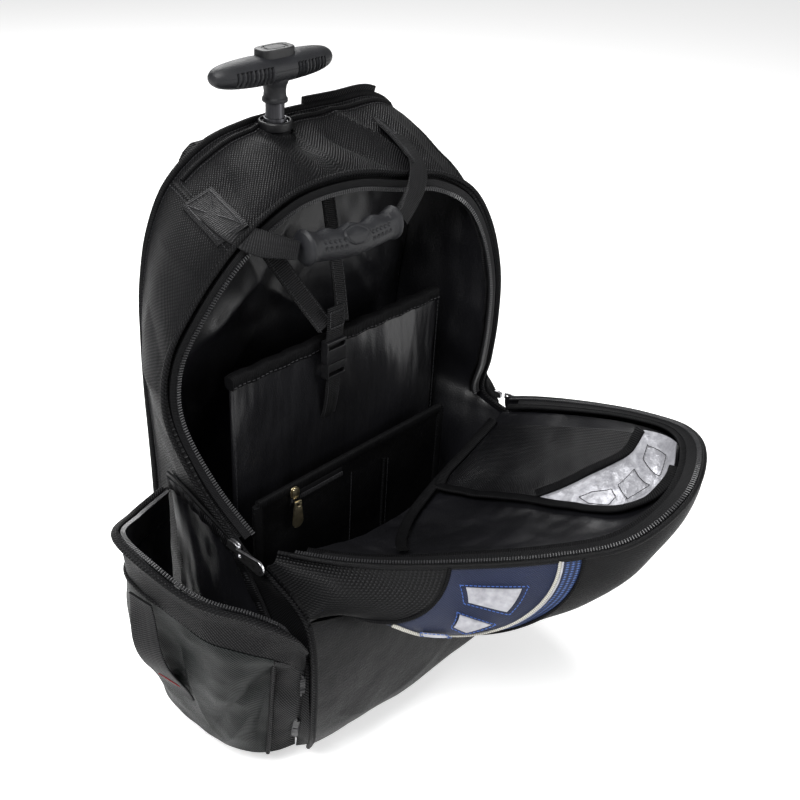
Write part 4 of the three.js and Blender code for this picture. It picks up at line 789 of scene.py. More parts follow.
# Wheels: a rubber tyre with a shallow tread on a spoked hub, turning on a steel axle in
# a moulded corner housing.
tyre_rubber = clouded("tyre_rubber", (0.010, 0.010, 0.010), 0.68, ((0.0003, 700), (None, 45)),
                      ((0.006, 0.006, 0.006), (0.024, 0.024, 0.023)), (0.58, 0.82), 1, 1,
                      Specular_IOR_Level=0.3)
bare_steel = clouded("bare_steel", (0.52, 0.52, 0.54), 0.28, ((0.00008, 260, 4.0, (1, 1, 6)),),
                     ((0.34, 0.34, 0.35), (0.70, 0.70, 0.72)), (0.20, 0.42), Metallic=1.0)
wheel_radius, wheel_wide, tyre_thick, axle_radius, running_gap = 0.032, 0.024, 0.007, 0.004, 0.0005
wheel_y, wheel_x = back_y - 0.010, 0.103


def lathe(name, profile, axis, centre, material, sides=64, shape=None, sharp=40):
    """Turns a closed profile of radius and height pairs round an axis. shape(points,
    angle) may press spokes or treads into it."""
    profile = np.asarray(profile, float)
    angle = np.arange(sides) * 2 * math.pi / sides
    ring = np.stack([np.cos(angle), np.sin(angle)], -1)
    around = profile[:, None, :1] * ring[None]
    height = np.repeat(profile[:, None, 1:], sides, axis=1)
    if shape is not None:
        around, height = shape(around, height, angle)
    order = {"x": (2, 0, 1), "z": (0, 1, 2)}[axis]
    points = np.concatenate([around, height], -1)[..., order] + centre
    rows = len(profile)
    faces = [(i * sides + k, i * sides + (k + 1) % sides, ((i + 1) % rows) * sides + (k + 1) % sides,
              ((i + 1) % rows) * sides + k) for i in range(rows) for k in range(sides)]
    girth = np.cumsum(np.linalg.norm(np.diff(profile, axis=0, prepend=profile[:1]), axis=1))
    uv = np.stack(np.broadcast_arrays(girth[:, None], (angle * profile[:, 0].max())[None]), -1)
    return outside_out(piece(name, points, faces, [material], uv, sharp=sharp))


def rounded(profile, radius, steps=3):
    """A closed profile with its corners eased."""
    profile = np.asarray(profile, float)
    eased = []
    for before, corner, after in zip(np.roll(profile, 1, 0), profile, np.roll(profile, -1, 0)):
        back, on = before - corner, after - corner
        reach = min(radius, 0.45 * np.linalg.norm(back), 0.45 * np.linalg.norm(on))
        start, end = corner + unit(back) * reach, corner + unit(on) * reach
        for t in np.linspace(0, 1, steps + 1):
            eased.append((1 - t) ** 2 * start + 2 * t * (1 - t) * corner + t ** 2 * end)
    return eased


def tread(around, height, angle):
    """Notches across the tyre's running face."""
    radius = np.linalg.norm(around, axis=-1, keepdims=True)
    groove = ((angle * 30 / (2 * math.pi)) % 1 < 0.22)[None, :, None]
    groove = groove & (radius > wheel_radius - 0.0012)
    return np.where(groove, around * (1 - 0.0011 / radius), around), height


def spokes(around, height, angle):
    """Six windows pressed into the hub's web."""
    radius = np.linalg.norm(around, axis=-1, keepdims=True)
    web = (radius > 0.0125) & (radius < 0.0195)
    window = np.abs(((angle * 6 / (2 * math.pi)) % 1) - 0.5)[None, :, None] < 0.32
    return around, np.where(web & window, height * 0.35, height)


for side, sign in (("left", -1), ("right", 1)):
    centre = np.array((sign * wheel_x, wheel_y, wheel_radius))
    rim, half, bore = wheel_radius - tyre_thick, wheel_wide / 2, axle_radius + running_gap
    tyre_profile = rounded([(rim, -0.84 * half), (wheel_radius - 0.003, -half),
                            (wheel_radius, -0.62 * half), (wheel_radius, 0.62 * half),
                            (wheel_radius - 0.003, half), (rim, 0.84 * half)], 0.0015)
    fit(lathe(f"tyre_{side}_tread", tyre_profile, "x", centre, tyre_rubber, 120, tread),
        f"wheel_{side}", "tyre", f"tyre_{side}")
    hub_profile = rounded([
        (bore, -0.8 * half), (bore + 0.005, -0.8 * half), (bore + 0.007, -0.4 * half),
        (0.0123, -0.4 * half), (0.0128, -0.4 * half), (0.0192, -0.4 * half), (0.0197, -0.4 * half),
        (rim - 0.005, -0.4 * half), (rim - seam_gap, -0.78 * half), (rim - seam_gap, 0.78 * half),
        (rim - 0.005, 0.4 * half), (0.0197, 0.4 * half), (0.0192, 0.4 * half), (0.0128, 0.4 * half),
        (0.0123, 0.4 * half), (bore + 0.007, 0.4 * half), (bore + 0.005, 0.8 * half),
        (bore, 0.8 * half)], 0.0004, 2)
    fit(lathe(f"hub_{side}_spokes", hub_profile, "x", centre, black_plastic, 96, spokes),
        f"wheel_{side}", "black_plastic", f"wheel_hub_{side}")
    low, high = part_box(f"axle_{side}")
    axle_half = (high.x - low.x) / 2
    axle_profile = rounded([(0.0002, -axle_half), (axle_radius, -axle_half),
                            (axle_radius, axle_half), (0.0002, axle_half)], 0.0006)
    fit(lathe(f"axle_{side}_pin", axle_profile, "x", centre, bare_steel, 40),
        "root", "bare_steel", f"axle_{side}")
    fit(moulded(f"wheel_housing_{side}", f"wheel_well_{side}", black_plastic, 0.0016),
        "root", "black_plastic", f"wheel_well_{side}")

# Telescoping pole: two anodised tubes, a plastic collar at the bag's top, and the stem
# that carries the grip.
anodised = clouded("anodised_tube", (0.05, 0.05, 0.055), 0.34, ((0.00006, 700, 3.0, (1, 1, 0.03)),),
                   ((0.030, 0.030, 0.034), (0.095, 0.095, 0.102)), (0.26, 0.44), Metallic=0.9)
tube_wall = 0.0012
for name, node, body in (("fixed_tube", "pole_fixed_tube", "root"),
                         ("middle_tube", "pole_middle_tube", "pole_middle"),
                         ("stem_tube", "grip_stem", "pole_stem"),
                         ("top_collar", "pole_collar", "root")):
    low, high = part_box(node)
    outer = (high.x - low.x) / 2
    inner = outer - tube_wall if node != "pole_collar" else 0.0113 + seam_gap
    solid_top = node == "grip_stem"
    profile = [(inner, low.z), (outer, low.z), (outer, high.z), (inner, high.z)]
    if solid_top:
        profile = [(inner, low.z), (outer, low.z), (outer, high.z), (0.0002, high.z),
                   (0.0002, 0.465), (inner, 0.465)]
    if node == "pole_collar":
        profile = [(inner, low.z), (outer - 0.0012, low.z), (outer - 0.0012, high.z - 0.008),
                   (outer, high.z - 0.007), (outer, high.z - 0.001), (outer - 0.001, high.z),
                   (inner, high.z)]
    fit(lathe(name, rounded(profile, 0.0005, 2), "z", (0, pole_place[1], 0),
              black_plastic if node == "pole_collar" else anodised, 56),
        body, "black_plastic" if node == "pole_collar" else "alloy_tube", node)

# T grip: a moulded rubber bar, swept back at its ends, with rows of slots for the
# fingers under its front and a hard release button on top.
grip_rubber = clouded("grip_rubber", (0.014, 0.015, 0.018), 0.50, ((0.00022, 1100, 2.0), (None, 60)),
                      ((0.004, 0.0042, 0.0052), (0.010, 0.0105, 0.013)), (0.44, 0.64), 1, 1,
                      Specular_IOR_Level=0.35)
grip_height, grip_radius, grip_half, grip_sweep = 0.507, 0.0135, 0.060, 0.0054
# Distance from the middle, width and height of the section, and how far it is swept back
grip_stations = spline([(-1.00, 0.16, 0.14, 0.50), (-0.97, 0.42, 0.36, 0.46), (-0.88, 0.68, 0.58, 0.38),
                        (-0.72, 0.86, 0.72, 0.24), (-0.50, 0.98, 0.80, 0.10), (-0.25, 1.04, 0.84, 0.01),
                        (0.00, 1.06, 0.86, 0.00), (0.25, 1.04, 0.84, 0.01), (0.50, 0.98, 0.80, 0.10),
                        (0.72, 0.86, 0.72, 0.24), (0.88, 0.68, 0.58, 0.38), (0.97, 0.42, 0.36, 0.46),
                        (1.00, 0.16, 0.14, 0.50)])


def t_bar():
    shares = (1 - np.cos(np.linspace(0, math.pi, 241))) / 2
    station = grip_stations(shares)
    angle = np.arange(96) * 2 * math.pi / 96
    x = station[:, :1] * grip_half + 0 * angle
    low_front = np.abs(np.angle(np.exp(1j * (angle + 0.26)))) < 0.70
    slots = (np.abs((x / 0.0038) % 1 - 0.5) < 0.24)
    left_rows = (x > -0.044) & (x < -0.012)
    right_rows = (x > 0.012) & (x < 0.044)
    depth = 0.0020 * slots * (left_rows | right_rows) * low_front
    seam = 0.0003 * (np.abs(np.sin(angle))[None] < 0.035)
    button_seat = 0.0012 * np.clip(1.4 - np.hypot(x / 0.017, np.cos(angle)[None] / 0.62), 0, 1)
    reach = grip_radius - depth / 0.9 - seam
    y = pole_place[1] + station[:, 3:] * grip_sweep - station[:, 1:2] * reach * np.cos(angle)
    z = grip_height + station[:, 2:3] * reach * np.sin(angle) - button_seat * (np.sin(angle) > 0.5)
    points = np.stack([x, y, z], -1)
    uv = np.stack([x, np.broadcast_to(angle * grip_radius, x.shape)], -1)
    return outside_out(piece("t_grip_bar", points, tube_faces(*x.shape), [grip_rubber], uv, sharp=32))


fit(t_bar(), "pole_stem", "soft_rubber", "t_grip")
neck_profile = rounded([
    (0.0002, 0.4812), (0.0101, 0.4812), (0.0101, 0.4838), (0.0090, 0.4850), (0.0086, 0.4888),
    (0.0092, 0.4935), (0.0110, 0.4979), (0.0122, 0.5040), (0.0002, 0.5040)], 0.0006, 2)
fit(lathe("t_grip_neck", neck_profile, "z", (0, pole_place[1], 0), grip_rubber, 64),
    "pole_stem", "soft_rubber")


def button_slab():
    """The release button: a slab with round corners, a crowned top and one groove."""
    low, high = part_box("release_button")
    half_x, half_y = (high.x - low.x) / 2, (high.y - low.y) / 2
    middle = np.array(((low.x + high.x) / 2, (low.y + high.y) / 2))
    angle = np.arange(96) * 2 * math.pi / 96
    ring = np.stack([np.cos(angle), np.sin(angle)], -1)
    outline = np.sign(ring) * np.abs(ring) ** 0.55 * (half_x, half_y)
    levels = [(1.0, 0.0), (1.0, 0.80), (0.985, 0.92), (0.95, 0.985), (0.90, 1.0)]
    levels += [(share, 1.0) for share in (0.75, 0.66, 0.64, 0.55, 0.53, 0.4, 0.2, 0.001)]
    points = []
    for share, rise in levels:
        flat = outline * share
        groove = 0.0006 if share in (0.64, 0.55) else 0
        height = low.z + (high.z - low.z) * rise - groove
        points.append(np.concatenate([flat + middle, np.full((len(angle), 1), height)], -1))
    return outside_out(piece("release_slab", np.array(points), tube_faces(len(levels), len(angle)),
                             [black_plastic], sharp=30))


fit(button_slab(), "button", "black_plastic", "release_button")

# Boot: the front of the bag below the flap, one panel of smooth nylon whose top edge
# sags between the side walls. Its left seam runs down the corner.
boot_row, boot_swell, boot_sag = 2 / last_row, 0.008, 0.030


def boot(across, up):
    left, right = front_edge(boot_row * up), front_edge(1 - boot_row * up)
    swell = boot_swell * (1 - (2 * across - 1) ** 4)
    sag = boot_sag * up * np.sin(math.pi * across)
    return left + (right - left) * across[..., None] + np.stack([0 * sag, -swell, -sag], -1)


boot_inset = (wall_step + 0.0035) / (2 * half_width)
boot_net = lattice(boot, (boot_inset * 0.35, 1 - boot_inset * 0.35), steps=(220, 110))
boot_lift = ripple(boot_net, 0.09, 0.0035, 4) + ripple(boot_net, 0.035, 0.0014, 5)
boot_folds = (  # start and end across and up, depth, reach
    ((0.03, 0.93), (0.07, 0.55), 0.0030, 0.008), ((0.07, 0.55), (0.20, 0.45), 0.0030, 0.012),
    ((0.20, 0.45), (0.45, 0.60), 0.0030, 0.016), ((0.10, 0.20), (0.30, 0.32), -0.0030, 0.015),
    ((0.55, 0.30), (0.85, 0.55), 0.0030, 0.018),
)
boot_lift += creases(boot_net, boot, boot_folds)
boot_hold = np.sin(math.pi * np.linspace(0, 1, 221))[:, None] ** 0.5
fit(cloth("boot_cloth", boot_net, [smooth_nylon, satin_lining], side=-1, lift=boot_lift * boot_hold),
    "root", "smooth_nylon", "boot_front")
for side in (0, 1):
    corner_path = front_edge(np.linspace(0.004, boot_row * 0.99, 90) if side == 0
                             else 1 - np.linspace(0.004, boot_row * 0.99, 90))
    corner_path = corner_path + (0, -0.0008, 0)
    fit(sweep(f"boot_piping_{side}", corner_path, (1.0, 0, 0),
              round_section(0.0042, 0.0042), binding), "root", "smooth_nylon")

# Flap, outside: the bag's front, unzipped and hanging forward. Mesh, navy and black
# panels are sewn edge to edge with piping, and silver patches are stitched to them.
flap_reach, flap_rise, flap_drop = 0.250, 0.080, 0.080
hinge_y, hinge_z = back_y - 0.6 * bag_depth, 0.4335 * bag_height
# The zipped rim from the left slider round the tip to the right one: x, out from the
# hinge, up from it, and how deep the bowl hangs there, as shares
rim_rows = ((-0.906, 0.100, 0.000, 0.08), (-0.681, 0.344, 0.025, 0.30), (-0.400, 0.576, 0.113, 0.68),
            (-0.094, 0.820, 0.300, 0.95), (0.138, 0.972, 0.513, 1.00), (0.381, 1.032, 0.850, 0.90),
            (0.669, 0.968, 0.975, 0.75), (0.856, 0.852, 0.913, 0.85), (0.919, 0.688, 0.788, 0.95),
            (0.950, 0.492, 0.600, 0.72), (0.969, 0.240, 0.313, 0.30), (0.975, 0.060, 0.060, 0.08))
rim_step = 1 / (len(rim_rows) - 1)
hinge_flat, hinge_ease = 0.12, 0.15
rim_curve = spline([(row[0] * half_width, hinge_y - row[1] * flap_reach, hinge_z + row[2] * flap_rise)
                    for row in rim_rows])
drop_curve = spline([(count, row[3] * flap_drop, 0) for count, row in enumerate(rim_rows)])


def flap_seam(along):
    """Where the flap is sewn on: down one side wall, along the boot and up the other."""
    low, high = boot_row, 3.6 / last_row
    left = front_edge(high + (low - high) * np.minimum(along, rim_step) / rim_step)
    right = front_edge(1 - (high + (low - high) * (1 - np.maximum(along, 1 - rim_step)) / rim_step))
    top = boot(np.clip((along - rim_step) / (1 - 2 * rim_step), 0, 1), np.ones_like(along))
    return np.where((along < rim_step)[..., None], left,
                    np.where((along > 1 - rim_step)[..., None], right, top))


def flap(along, down):
    rim = rim_curve(along)
    seam = flap_seam(along) + (0, -wall_step, 2 * wall_step)
    drop = drop_curve(along)[..., 1:2]
    apart = unit((rim - (0.2 * half_width, hinge_y - 0.45 * flap_reach, 0)) * (1, 1, 0))
    rim_pull = rim - drop * (0, 0, 1) + apart * 0.12 * drop
    grown = np.clip((np.minimum(along, 1 - along) - hinge_flat) / hinge_ease, 0, 1)[..., None]
    grown = grown * grown * (3 - 2 * grown)
    seam_pull = (rim_pull * 0.4 + seam * 0.6) * (1 - grown) + (seam - drop * (0, 0.35, 0.5)) * grown
    t = np.asarray(down)[..., None]
    return ((1 - t) ** 3 * rim + 3 * (1 - t) ** 2 * t * rim_pull
            + 3 * (1 - t) * t ** 2 * seam_pull + t ** 3 * seam)


def netted(name, colour, roughness, specular, pitches, tones, depths, wear=(), glosses=None):
    """Cloth of small holes in rows; wear is its noise's scale and detail."""
    material = finish(name, colour, roughness, Specular_IOR_Level=specular)
    _, along, across = cloth_place(material)
    holes = share = maths(material, "MULTIPLY", wave(material, along, pitches[0]),
                          wave(material, across, pitches[1]))
    heights = [(holes, depths[0])]
    if wear:
        worn = cloud(material, solid_place(material), *wear)
        share = maths(material, "MULTIPLY", holes, worn)
        heights.append((worn, depths[1]))
    tint(material, share, *tones)
    if glosses:
        gloss(material, holes, *glosses)
    relief(material, *heights)
    return material


navy_nylon = woven("navy_nylon", (0.010, 0.016, 0.050), 0.45, 0.25, 0.0016, 30,
                   ((0.004, 0.007, 0.024), (0.024, 0.040, 0.108)), (0.0003, 0.002))
mesh_fabric = netted("mesh_fabric", (0.006, 0.006, 0.007), 0.5, 0.15, (0.0026, 0.0026),
                     ((0.0008, 0.0008, 0.0010), (0.020, 0.020, 0.022)), (0.0006, 0.002), (20,))
mesh_satin = netted("mesh_satin", (0.004, 0.004, 0.005), 0.32, 0.3, (0.0016, 0.0016),
                    ((0.0014, 0.0014, 0.0017), (0.013, 0.013, 0.016)), (0.0003, 0.005), (22, 2.0),
                    (0.26, 0.48))
blue_mesh = netted("blue_mesh", (0.02, 0.05, 0.16), 0.5, 0.25, (0.0030, 0.0022),
                   ((0.006, 0.010, 0.030), (0.075, 0.140, 0.360)), (0.0007,))
silver_film = clouded("silver_film", (0.40, 0.40, 0.42), 0.36, ((0.0011, 170, 5.0), (0.003, 38, 2.0)),
                      ((0.16, 0.16, 0.18), (0.50, 0.50, 0.53)), (0.22, 0.50), 0, 1, Metallic=0.30,
                      Specular_IOR_Level=0.4)

pale_piping = finish("pale_piping", (0.62, 0.61, 0.56), 0.42, Specular_IOR_Level=0.3)
piping_twist = wave(pale_piping, cloth_place(pale_piping)[1], 0.0016)
tint(pale_piping, piping_twist, (0.26, 0.25, 0.22), (0.52, 0.51, 0.46))
relief(pale_piping, (piping_twist, 0.0003))

blue_thread = clouded("blue_thread", (0.03, 0.08, 0.30), 0.45, ((0.0001, 1500),),
                      ((0.02, 0.05, 0.20), (0.06, 0.15, 0.48)), Specular_IOR_Level=0.3)

# Panels: name, from and to along the rim, net, finish, slot and the solid it stands for
flap_panels = (
    ("flap_mesh_cloth", 0.2 * rim_step, 0.180, 90, mesh_fabric, "mesh_fabric", "flap_mesh_panel"),
    ("flap_navy_cloth", 0.182, 0.2735, 56, navy_nylon, "navy_nylon", "flap_navy_panel"),
    ("flap_blue_mesh_cloth", 0.2745, 0.2985, 18, blue_mesh, "navy_nylon", None),
    ("flap_black_cloth", 0.2995, 10.8 * rim_step, 330, smooth_nylon, "smooth_nylon", "flap_black_panel"),
)
for name, start, end, steps, material, slot, node in flap_panels:
    net = lattice(flap, (start, end), steps=(steps, 110))
    lift = ripple(net, 0.06, 0.0030, 6) + ripple(net, 0.024, 0.0010, 7)
    lift *= np.sin(math.pi * np.linspace(0, 1, 111))[None] ** 0.4
    panel = cloth(name, net, [material, satin_lining], side=1, lift=-lift)
    fit(panel, "root", slot, *([node] if node else []))

for name, at, radius, material in (("flap_seam_mesh", 0.181, 0.0016, binding),
                                   ("flap_seam_navy", 0.2728, 0.0012, pale_piping),
                                   ("flap_seam_silver", 0.2758, 0.0009, silver_film),
                                   ("flap_seam_black", 0.299, 0.0013, binding)):
    path = flap(np.full(90, at), np.linspace(0.0, 0.98, 90))
    normal = facing(lattice(flap, (at - 0.004, at + 0.004), steps=(2, 89)))[1]
    fit(sweep(name, path - normal * 0.0006, normal, round_section(2 * radius, 2 * radius), material),
        "root", "navy_nylon")


def place_on(surface, corners, count):
    """An even outline through (along, across) corners of a surface, in its own measure."""
    corners = np.asarray(corners, float)
    closed = np.vstack([corners, corners[:1]])
    stations = np.linspace(0, len(corners), count * len(corners), endpoint=False)
    low = stations.astype(int)
    share = (stations - low)[:, None]
    return closed[low] * (1 - share) + closed[low + 1] * share


def patch(name, surface, corners, material, raise_by, thick=0.0007, count=14, rings=7):
    """A flat patch sewn to a surface: an outline of (along, across) corners, its face
    raised off the cloth by raise_by along the surface's normal (negative is against)."""
    outline = place_on(surface, corners, count)
    middle = outline.mean(axis=0)
    shares = np.linspace(1, 0.02, rings)
    net = middle + (outline - middle)[None] * shares[:, None, None]
    step = 0.002

    def at(u, v):
        return surface(np.clip(u, 0, 1), np.clip(v, 0, 1))
    points = at(net[..., 0], net[..., 1])
    normal = unit(np.cross(at(net[..., 0] + step, net[..., 1]) - at(net[..., 0] - step, net[..., 1]),
                           at(net[..., 0], net[..., 1] + step) - at(net[..., 0], net[..., 1] - step)))
    way = math.copysign(1, raise_by)
    edge = np.minimum(1, np.arange(rings) / 1.5)[:, None, None]
    top = points + normal * (raise_by + way * thick * edge)
    base = points + normal * (raise_by - way * thick)
    layers = np.concatenate([top, base[::-1]])
    total, columns = layers.shape[:2]
    faces = [(i * columns + k, i * columns + (k + 1) % columns,
              ((i + 1) % total) * columns + (k + 1) % columns, ((i + 1) % total) * columns + k)
             for i in range(total) for k in range(columns) if i not in (rings - 1, total - 1)]
    faces += [(k, (total - 1) * columns + k, (total - 1) * columns + (k + 1) % columns, (k + 1) % columns)
              for k in range(columns)]
    faces += [tuple(range((rings - 1) * columns, rings * columns)),
              tuple(range(rings * columns, (rings + 1) * columns))]
    return outside_out(piece(name, layers, faces, [material], np.concatenate([net, net[::-1]]) * 0.4))


def outline_stitches(name, surface, corners, material, raise_by, grow, pitch=0.0032):
    """Stitches round a patch, a little outside its edge."""
    outline = place_on(surface, corners, 30)
    middle = outline.mean(axis=0)
    net = middle + (outline - middle) * grow
    net = np.vstack([net, net[:1]])
    step = 0.002
    points = surface(net[:, 0], net[:, 1])
    normal = unit(np.cross(surface(net[:, 0] + step, net[:, 1]) - surface(net[:, 0] - step, net[:, 1]),
                           surface(net[:, 0], net[:, 1] + step) - surface(net[:, 0], net[:, 1] - step)))
    return stitch_row(name, points + normal * raise_by, material, pitch, 0.0021, 0.00035)


# Silver patches of the navy panel: corners along and down the flap
navy_patches = (
    ((0.199, 0.105), (0.245, 0.105), (0.247, 0.240), (0.208, 0.200)),
    ((0.211, 0.300), (0.250, 0.345), (0.246, 0.450), (0.224, 0.420)),
    ((0.222, 0.590), (0.238, 0.530), (0.254, 0.560), (0.240, 0.640)),
)
hem = flap(np.linspace(0.192, 0.272, 60), np.full(60, 0.665))
hem_side = facing(lattice(flap, (0.192, 0.272), (0.660, 0.670), (59, 2)))[:, 1]
fit(sweep("flap_lower_piping", hem - hem_side * 0.0008, np.cross(np.gradient(hem, axis=0), hem_side),
          round_section(0.0034, 0.0034), pale_piping), "root", "navy_nylon")
for number, corners in enumerate(navy_patches):
    fit(patch(f"navy_patch_{number}", flap, corners, silver_film, -0.0020), "root", "silver_film")
    fit(outline_stitches(f"navy_patch_{number}_stitches", flap, corners, blue_thread, -0.0022, 1.22),
        "root", "navy_nylon")

# Flap, rim: the outer half of the main zip. Its tape is sewn inside a turned edge, and
# the coil of teeth stands beside the turned edge all the way round.


def rim_inwards(along):
    edge = rim_curve(along)
    middle = np.stack([0 * edge[..., 0] + 0.2 * half_width,
                       0 * edge[..., 1] + hinge_y - 0.4 * flap_reach, edge[..., 2]], -1)
    return unit(middle - edge)


def rim_tape(along, across):
    share = 0.05 + 0.90 * along
    inset = wall_step + tape_inset + np.asarray(across) * tape_wide
    return rim_curve(share) + rim_inwards(share) * inset[..., None]


fit(cloth("rim_tape", lattice(rim_tape, steps=(320, 4)), [zip_tape], tape_thick, 0),
    "root", "zip_tape", "flap_zip_tape")
rim_shares = np.linspace(0.03, 0.975, 420)
rim_path = rim_curve(rim_shares)
coil("rim_teeth", rim_path + rim_inwards(rim_shares) * 0.0046 + (0, 0, 0.0016), (0, 0, 1), 0.0036, 0.00080)
fit(sweep("rim_edge", rim_path + rim_inwards(rim_shares) * 0.0008, rim_inwards(rim_shares),
          round_section(0.0046, 0.0046), smooth_nylon), "root", "smooth_nylon")
fit(sweep("rim_binding", rim_path + rim_inwards(rim_shares) * 0.0150 + (0, 0, -0.0008),
          rim_inwards(rim_shares), round_section(0.0075, 0.0026, 12, 1.6), binding), "root", "zip_tape")

# Flap, inside: a satin lining sags between the two halves of the rim. A mesh pocket and
# a silver film window lie over its far side, edged with binding.
flap_sag = 0.034


def rim_inner(along):
    return rim_curve(along) + rim_inwards(along) * (wall_step + tape_wide + 0.006)


def wide_lining(along, across):
    """The lining carried on past both hinges, down to the boot's top edge."""
    near, far = rim_inner(0.02 + 0.48 * along), rim_inner(0.985 - 0.40 * along)
    sag = flap_sag * np.sin(math.pi * across) * (1 - 0.6 * along * along)
    return (near + (far - near) * np.asarray(across)[..., None]
            - (0, 0, 1) * (sag + tape_thick + 0.004)[..., None])


lining_net = lattice(wide_lining, steps=(190, 130))
lining_lift = ripple(lining_net, 0.05, 0.0035, 8) + ripple(lining_net, 0.018, 0.0010, 9)
lining_lift *= np.sin(math.pi * np.linspace(0, 1, 131))[None] ** 0.5
fit(cloth("flap_lining_cloth", lining_net, [satin_lining], side=0, lift=lining_lift),
    "root", "satin_lining", "flap_lining")


def over_lining(lift):
    return lambda along, across: wide_lining(np.clip(along, 0, 1), np.clip(across, 0, 1)) + (0, 0, lift)


def even_line(corners, count):
    """Points at an even pace along a line of (along, across) corners, its bends eased."""
    line = spline([(*corner, 0) for corner in corners])(np.linspace(0, 1, 60 * len(corners)))[:, :2]
    run = np.insert(np.cumsum(np.linalg.norm(np.diff(line, axis=0), axis=1)), 0, 0)
    stations = np.linspace(0, run[-1], count)
    return np.stack([np.interp(stations, run, line[:, k]) for k in (0, 1)], -1)


def between(surface, first, second, steps):
    """A net over a surface between two lines of (along, across) corners."""
    first, second = even_line(first, steps[0] + 1), even_line(second, steps[0] + 1)
    share = np.linspace(0, 1, steps[1] + 1)[None, :, None]
    net = first[:, None] * (1 - share) + second[:, None] * share
    return surface(net[..., 0], net[..., 1])


# Edges of the mesh pocket and of the silver window, as places on the lining
pocket_left = ((0.030, 0.612), (0.000, 0.700), (0.000, 0.800), (0.010, 0.930))
pocket_right = ((0.385, 0.582), (0.454, 0.640), (0.525, 0.705), (0.671, 0.820), (0.715, 0.940))
window_inner = ((0.735, 0.950), (0.645, 0.775), (0.533, 0.682), (0.392, 0.560))
window_outer = ((0.985, 0.945), (0.992, 0.640), (0.945, 0.440), (0.840, 0.350), (0.728, 0.400),
                (0.549, 0.482), (0.392, 0.556))
mesh_net = between(over_lining(0.0035), pocket_left, pocket_right, (80, 120))
mesh_hold = (np.sin(math.pi * np.linspace(0, 1, 81))[:, None] ** 0.5
             * np.sin(math.pi * np.linspace(0, 1, 121)))
fit(cloth("flap_mesh_pocket", mesh_net, [mesh_satin], 0.0010, 0,
          -(ripple(mesh_net, 0.06, 0.006, 10) + ripple(mesh_net, 0.025, 0.0018, 16)) * mesh_hold),
    "root", "mesh_fabric", "flap_inner_pocket")
window_net = between(over_lining(0.0055), window_inner, window_outer, (120, 50))
window_hold = np.sin(math.pi * np.linspace(0, 1, 51))[None] ** 0.7
fit(cloth("silver_window", window_net, [silver_film], 0.0008, 0,
          ripple(window_net, 0.018, 0.0012, 11) * window_hold), "root", "silver_film",
    "flap_silver_backing")
lining_bindings = (
    ("mesh_right_binding", pocket_right), ("mesh_left_binding", pocket_left),
    ("mesh_lower_binding", ((0.030, 0.612), (0.207, 0.583), (0.392, 0.545), (0.549, 0.470),
                            (0.728, 0.385), (0.855, 0.330), (0.960, 0.400), (0.998, 0.520))),
    ("hinge_binding", ((0.004, 0.940), (0.000, 0.820), (0.000, 0.700), (0.012, 0.600),
                       (0.050, 0.440), (0.120, 0.250), (0.190, 0.080))),
)
for number, (name, corners) in enumerate(lining_bindings):
    line = even_line(corners, 110)
    path = over_lining(0.0070)(line[:, 0], line[:, 1])
    path = path + (0, 0, 1) * ripple(path, 0.015, 0.0008, 30 + number)[:, None]
    fit(sweep(name, path, np.cross(np.gradient(path, axis=0), (0, 0, 1)),
              round_section(0.0090, 0.0034, 12, 1.6), binding), "root", "mesh_fabric")
window_shapes = (
    ((0.795, 0.880), (0.985, 0.830), (0.925, 0.540), (0.785, 0.790)),
    ((0.750, 0.722), (0.855, 0.500), (0.751, 0.466), (0.690, 0.622)),
    ((0.545, 0.556), (0.590, 0.590), (0.665, 0.596), (0.692, 0.530), (0.672, 0.462), (0.590, 0.500)),
)
for number, corners in enumerate(window_shapes):
    fit(outline_stitches(f"window_shape_{number}", over_lining(0.0), corners, thread, 0.0068, 1.0, 0.0024),
        "root", "silver_film")

# Left side pocket: an open bellows pocket of coarse nylon with a ribbed band at its
# mouth, half a zip round the rim, a cloth floor and a loop of webbing outside.
pocket_out, pocket_long, pocket_high, pocket_base = 0.096, 0.190, 0.198, 0.026
pocket_back, pocket_side = back_y - 0.16 * bag_depth, 0.86 * half_width
band_share, pocket_end = 0.80, 0.975
# Foot of the wall, then its rim: out, along and up, as shares
pocket_rows = (
    (0.00, 0.000, 0.020, 0.03, 0.010, 0.850), (0.28, 0.070, 0.005, 0.51, 0.120, 0.890),
    (0.50, 0.225, 0.005, 0.92, 0.305, 0.990), (0.56, 0.425, 0.005, 0.99, 0.540, 1.000),
    (0.53, 0.600, 0.000, 0.84, 0.750, 0.910), (0.42, 0.755, -0.010, 0.61, 0.920, 0.870),
    (0.23, 0.840, -0.010, 0.41, 1.010, 0.790), (0.07, 0.880, 0.000, 0.20, 1.000, 0.620),
)
pocket_foot, pocket_rim = (
    spline([(-pocket_side - row[k] * pocket_out, pocket_back - row[k + 1] * pocket_long,
             pocket_base + row[k + 2] * pocket_high) for row in pocket_rows]) for k in (0, 3))


def side_wall(sign, depth, height, out):
    """A point on a side wall's face, found by its depth from the back panel and height."""
    depth, height, out = np.broadcast_arrays(np.asarray(depth, float), height, out)
    low, high = np.zeros(depth.shape), np.full(depth.shape, 0.4)
    for _ in range(22):
        share = (low + high) / 2
        along = share if sign < 0 else 1 - share
        reach = (back_y - front_edge(along)[..., 1]) / bag_depth
        point = main_wall(along, np.minimum(1, depth / reach))
        below = point[..., 2] < height
        low, high = np.where(below, share, low), np.where(below, high, share)
    return point + (1, 0, 0) * (sign * out)[..., None]


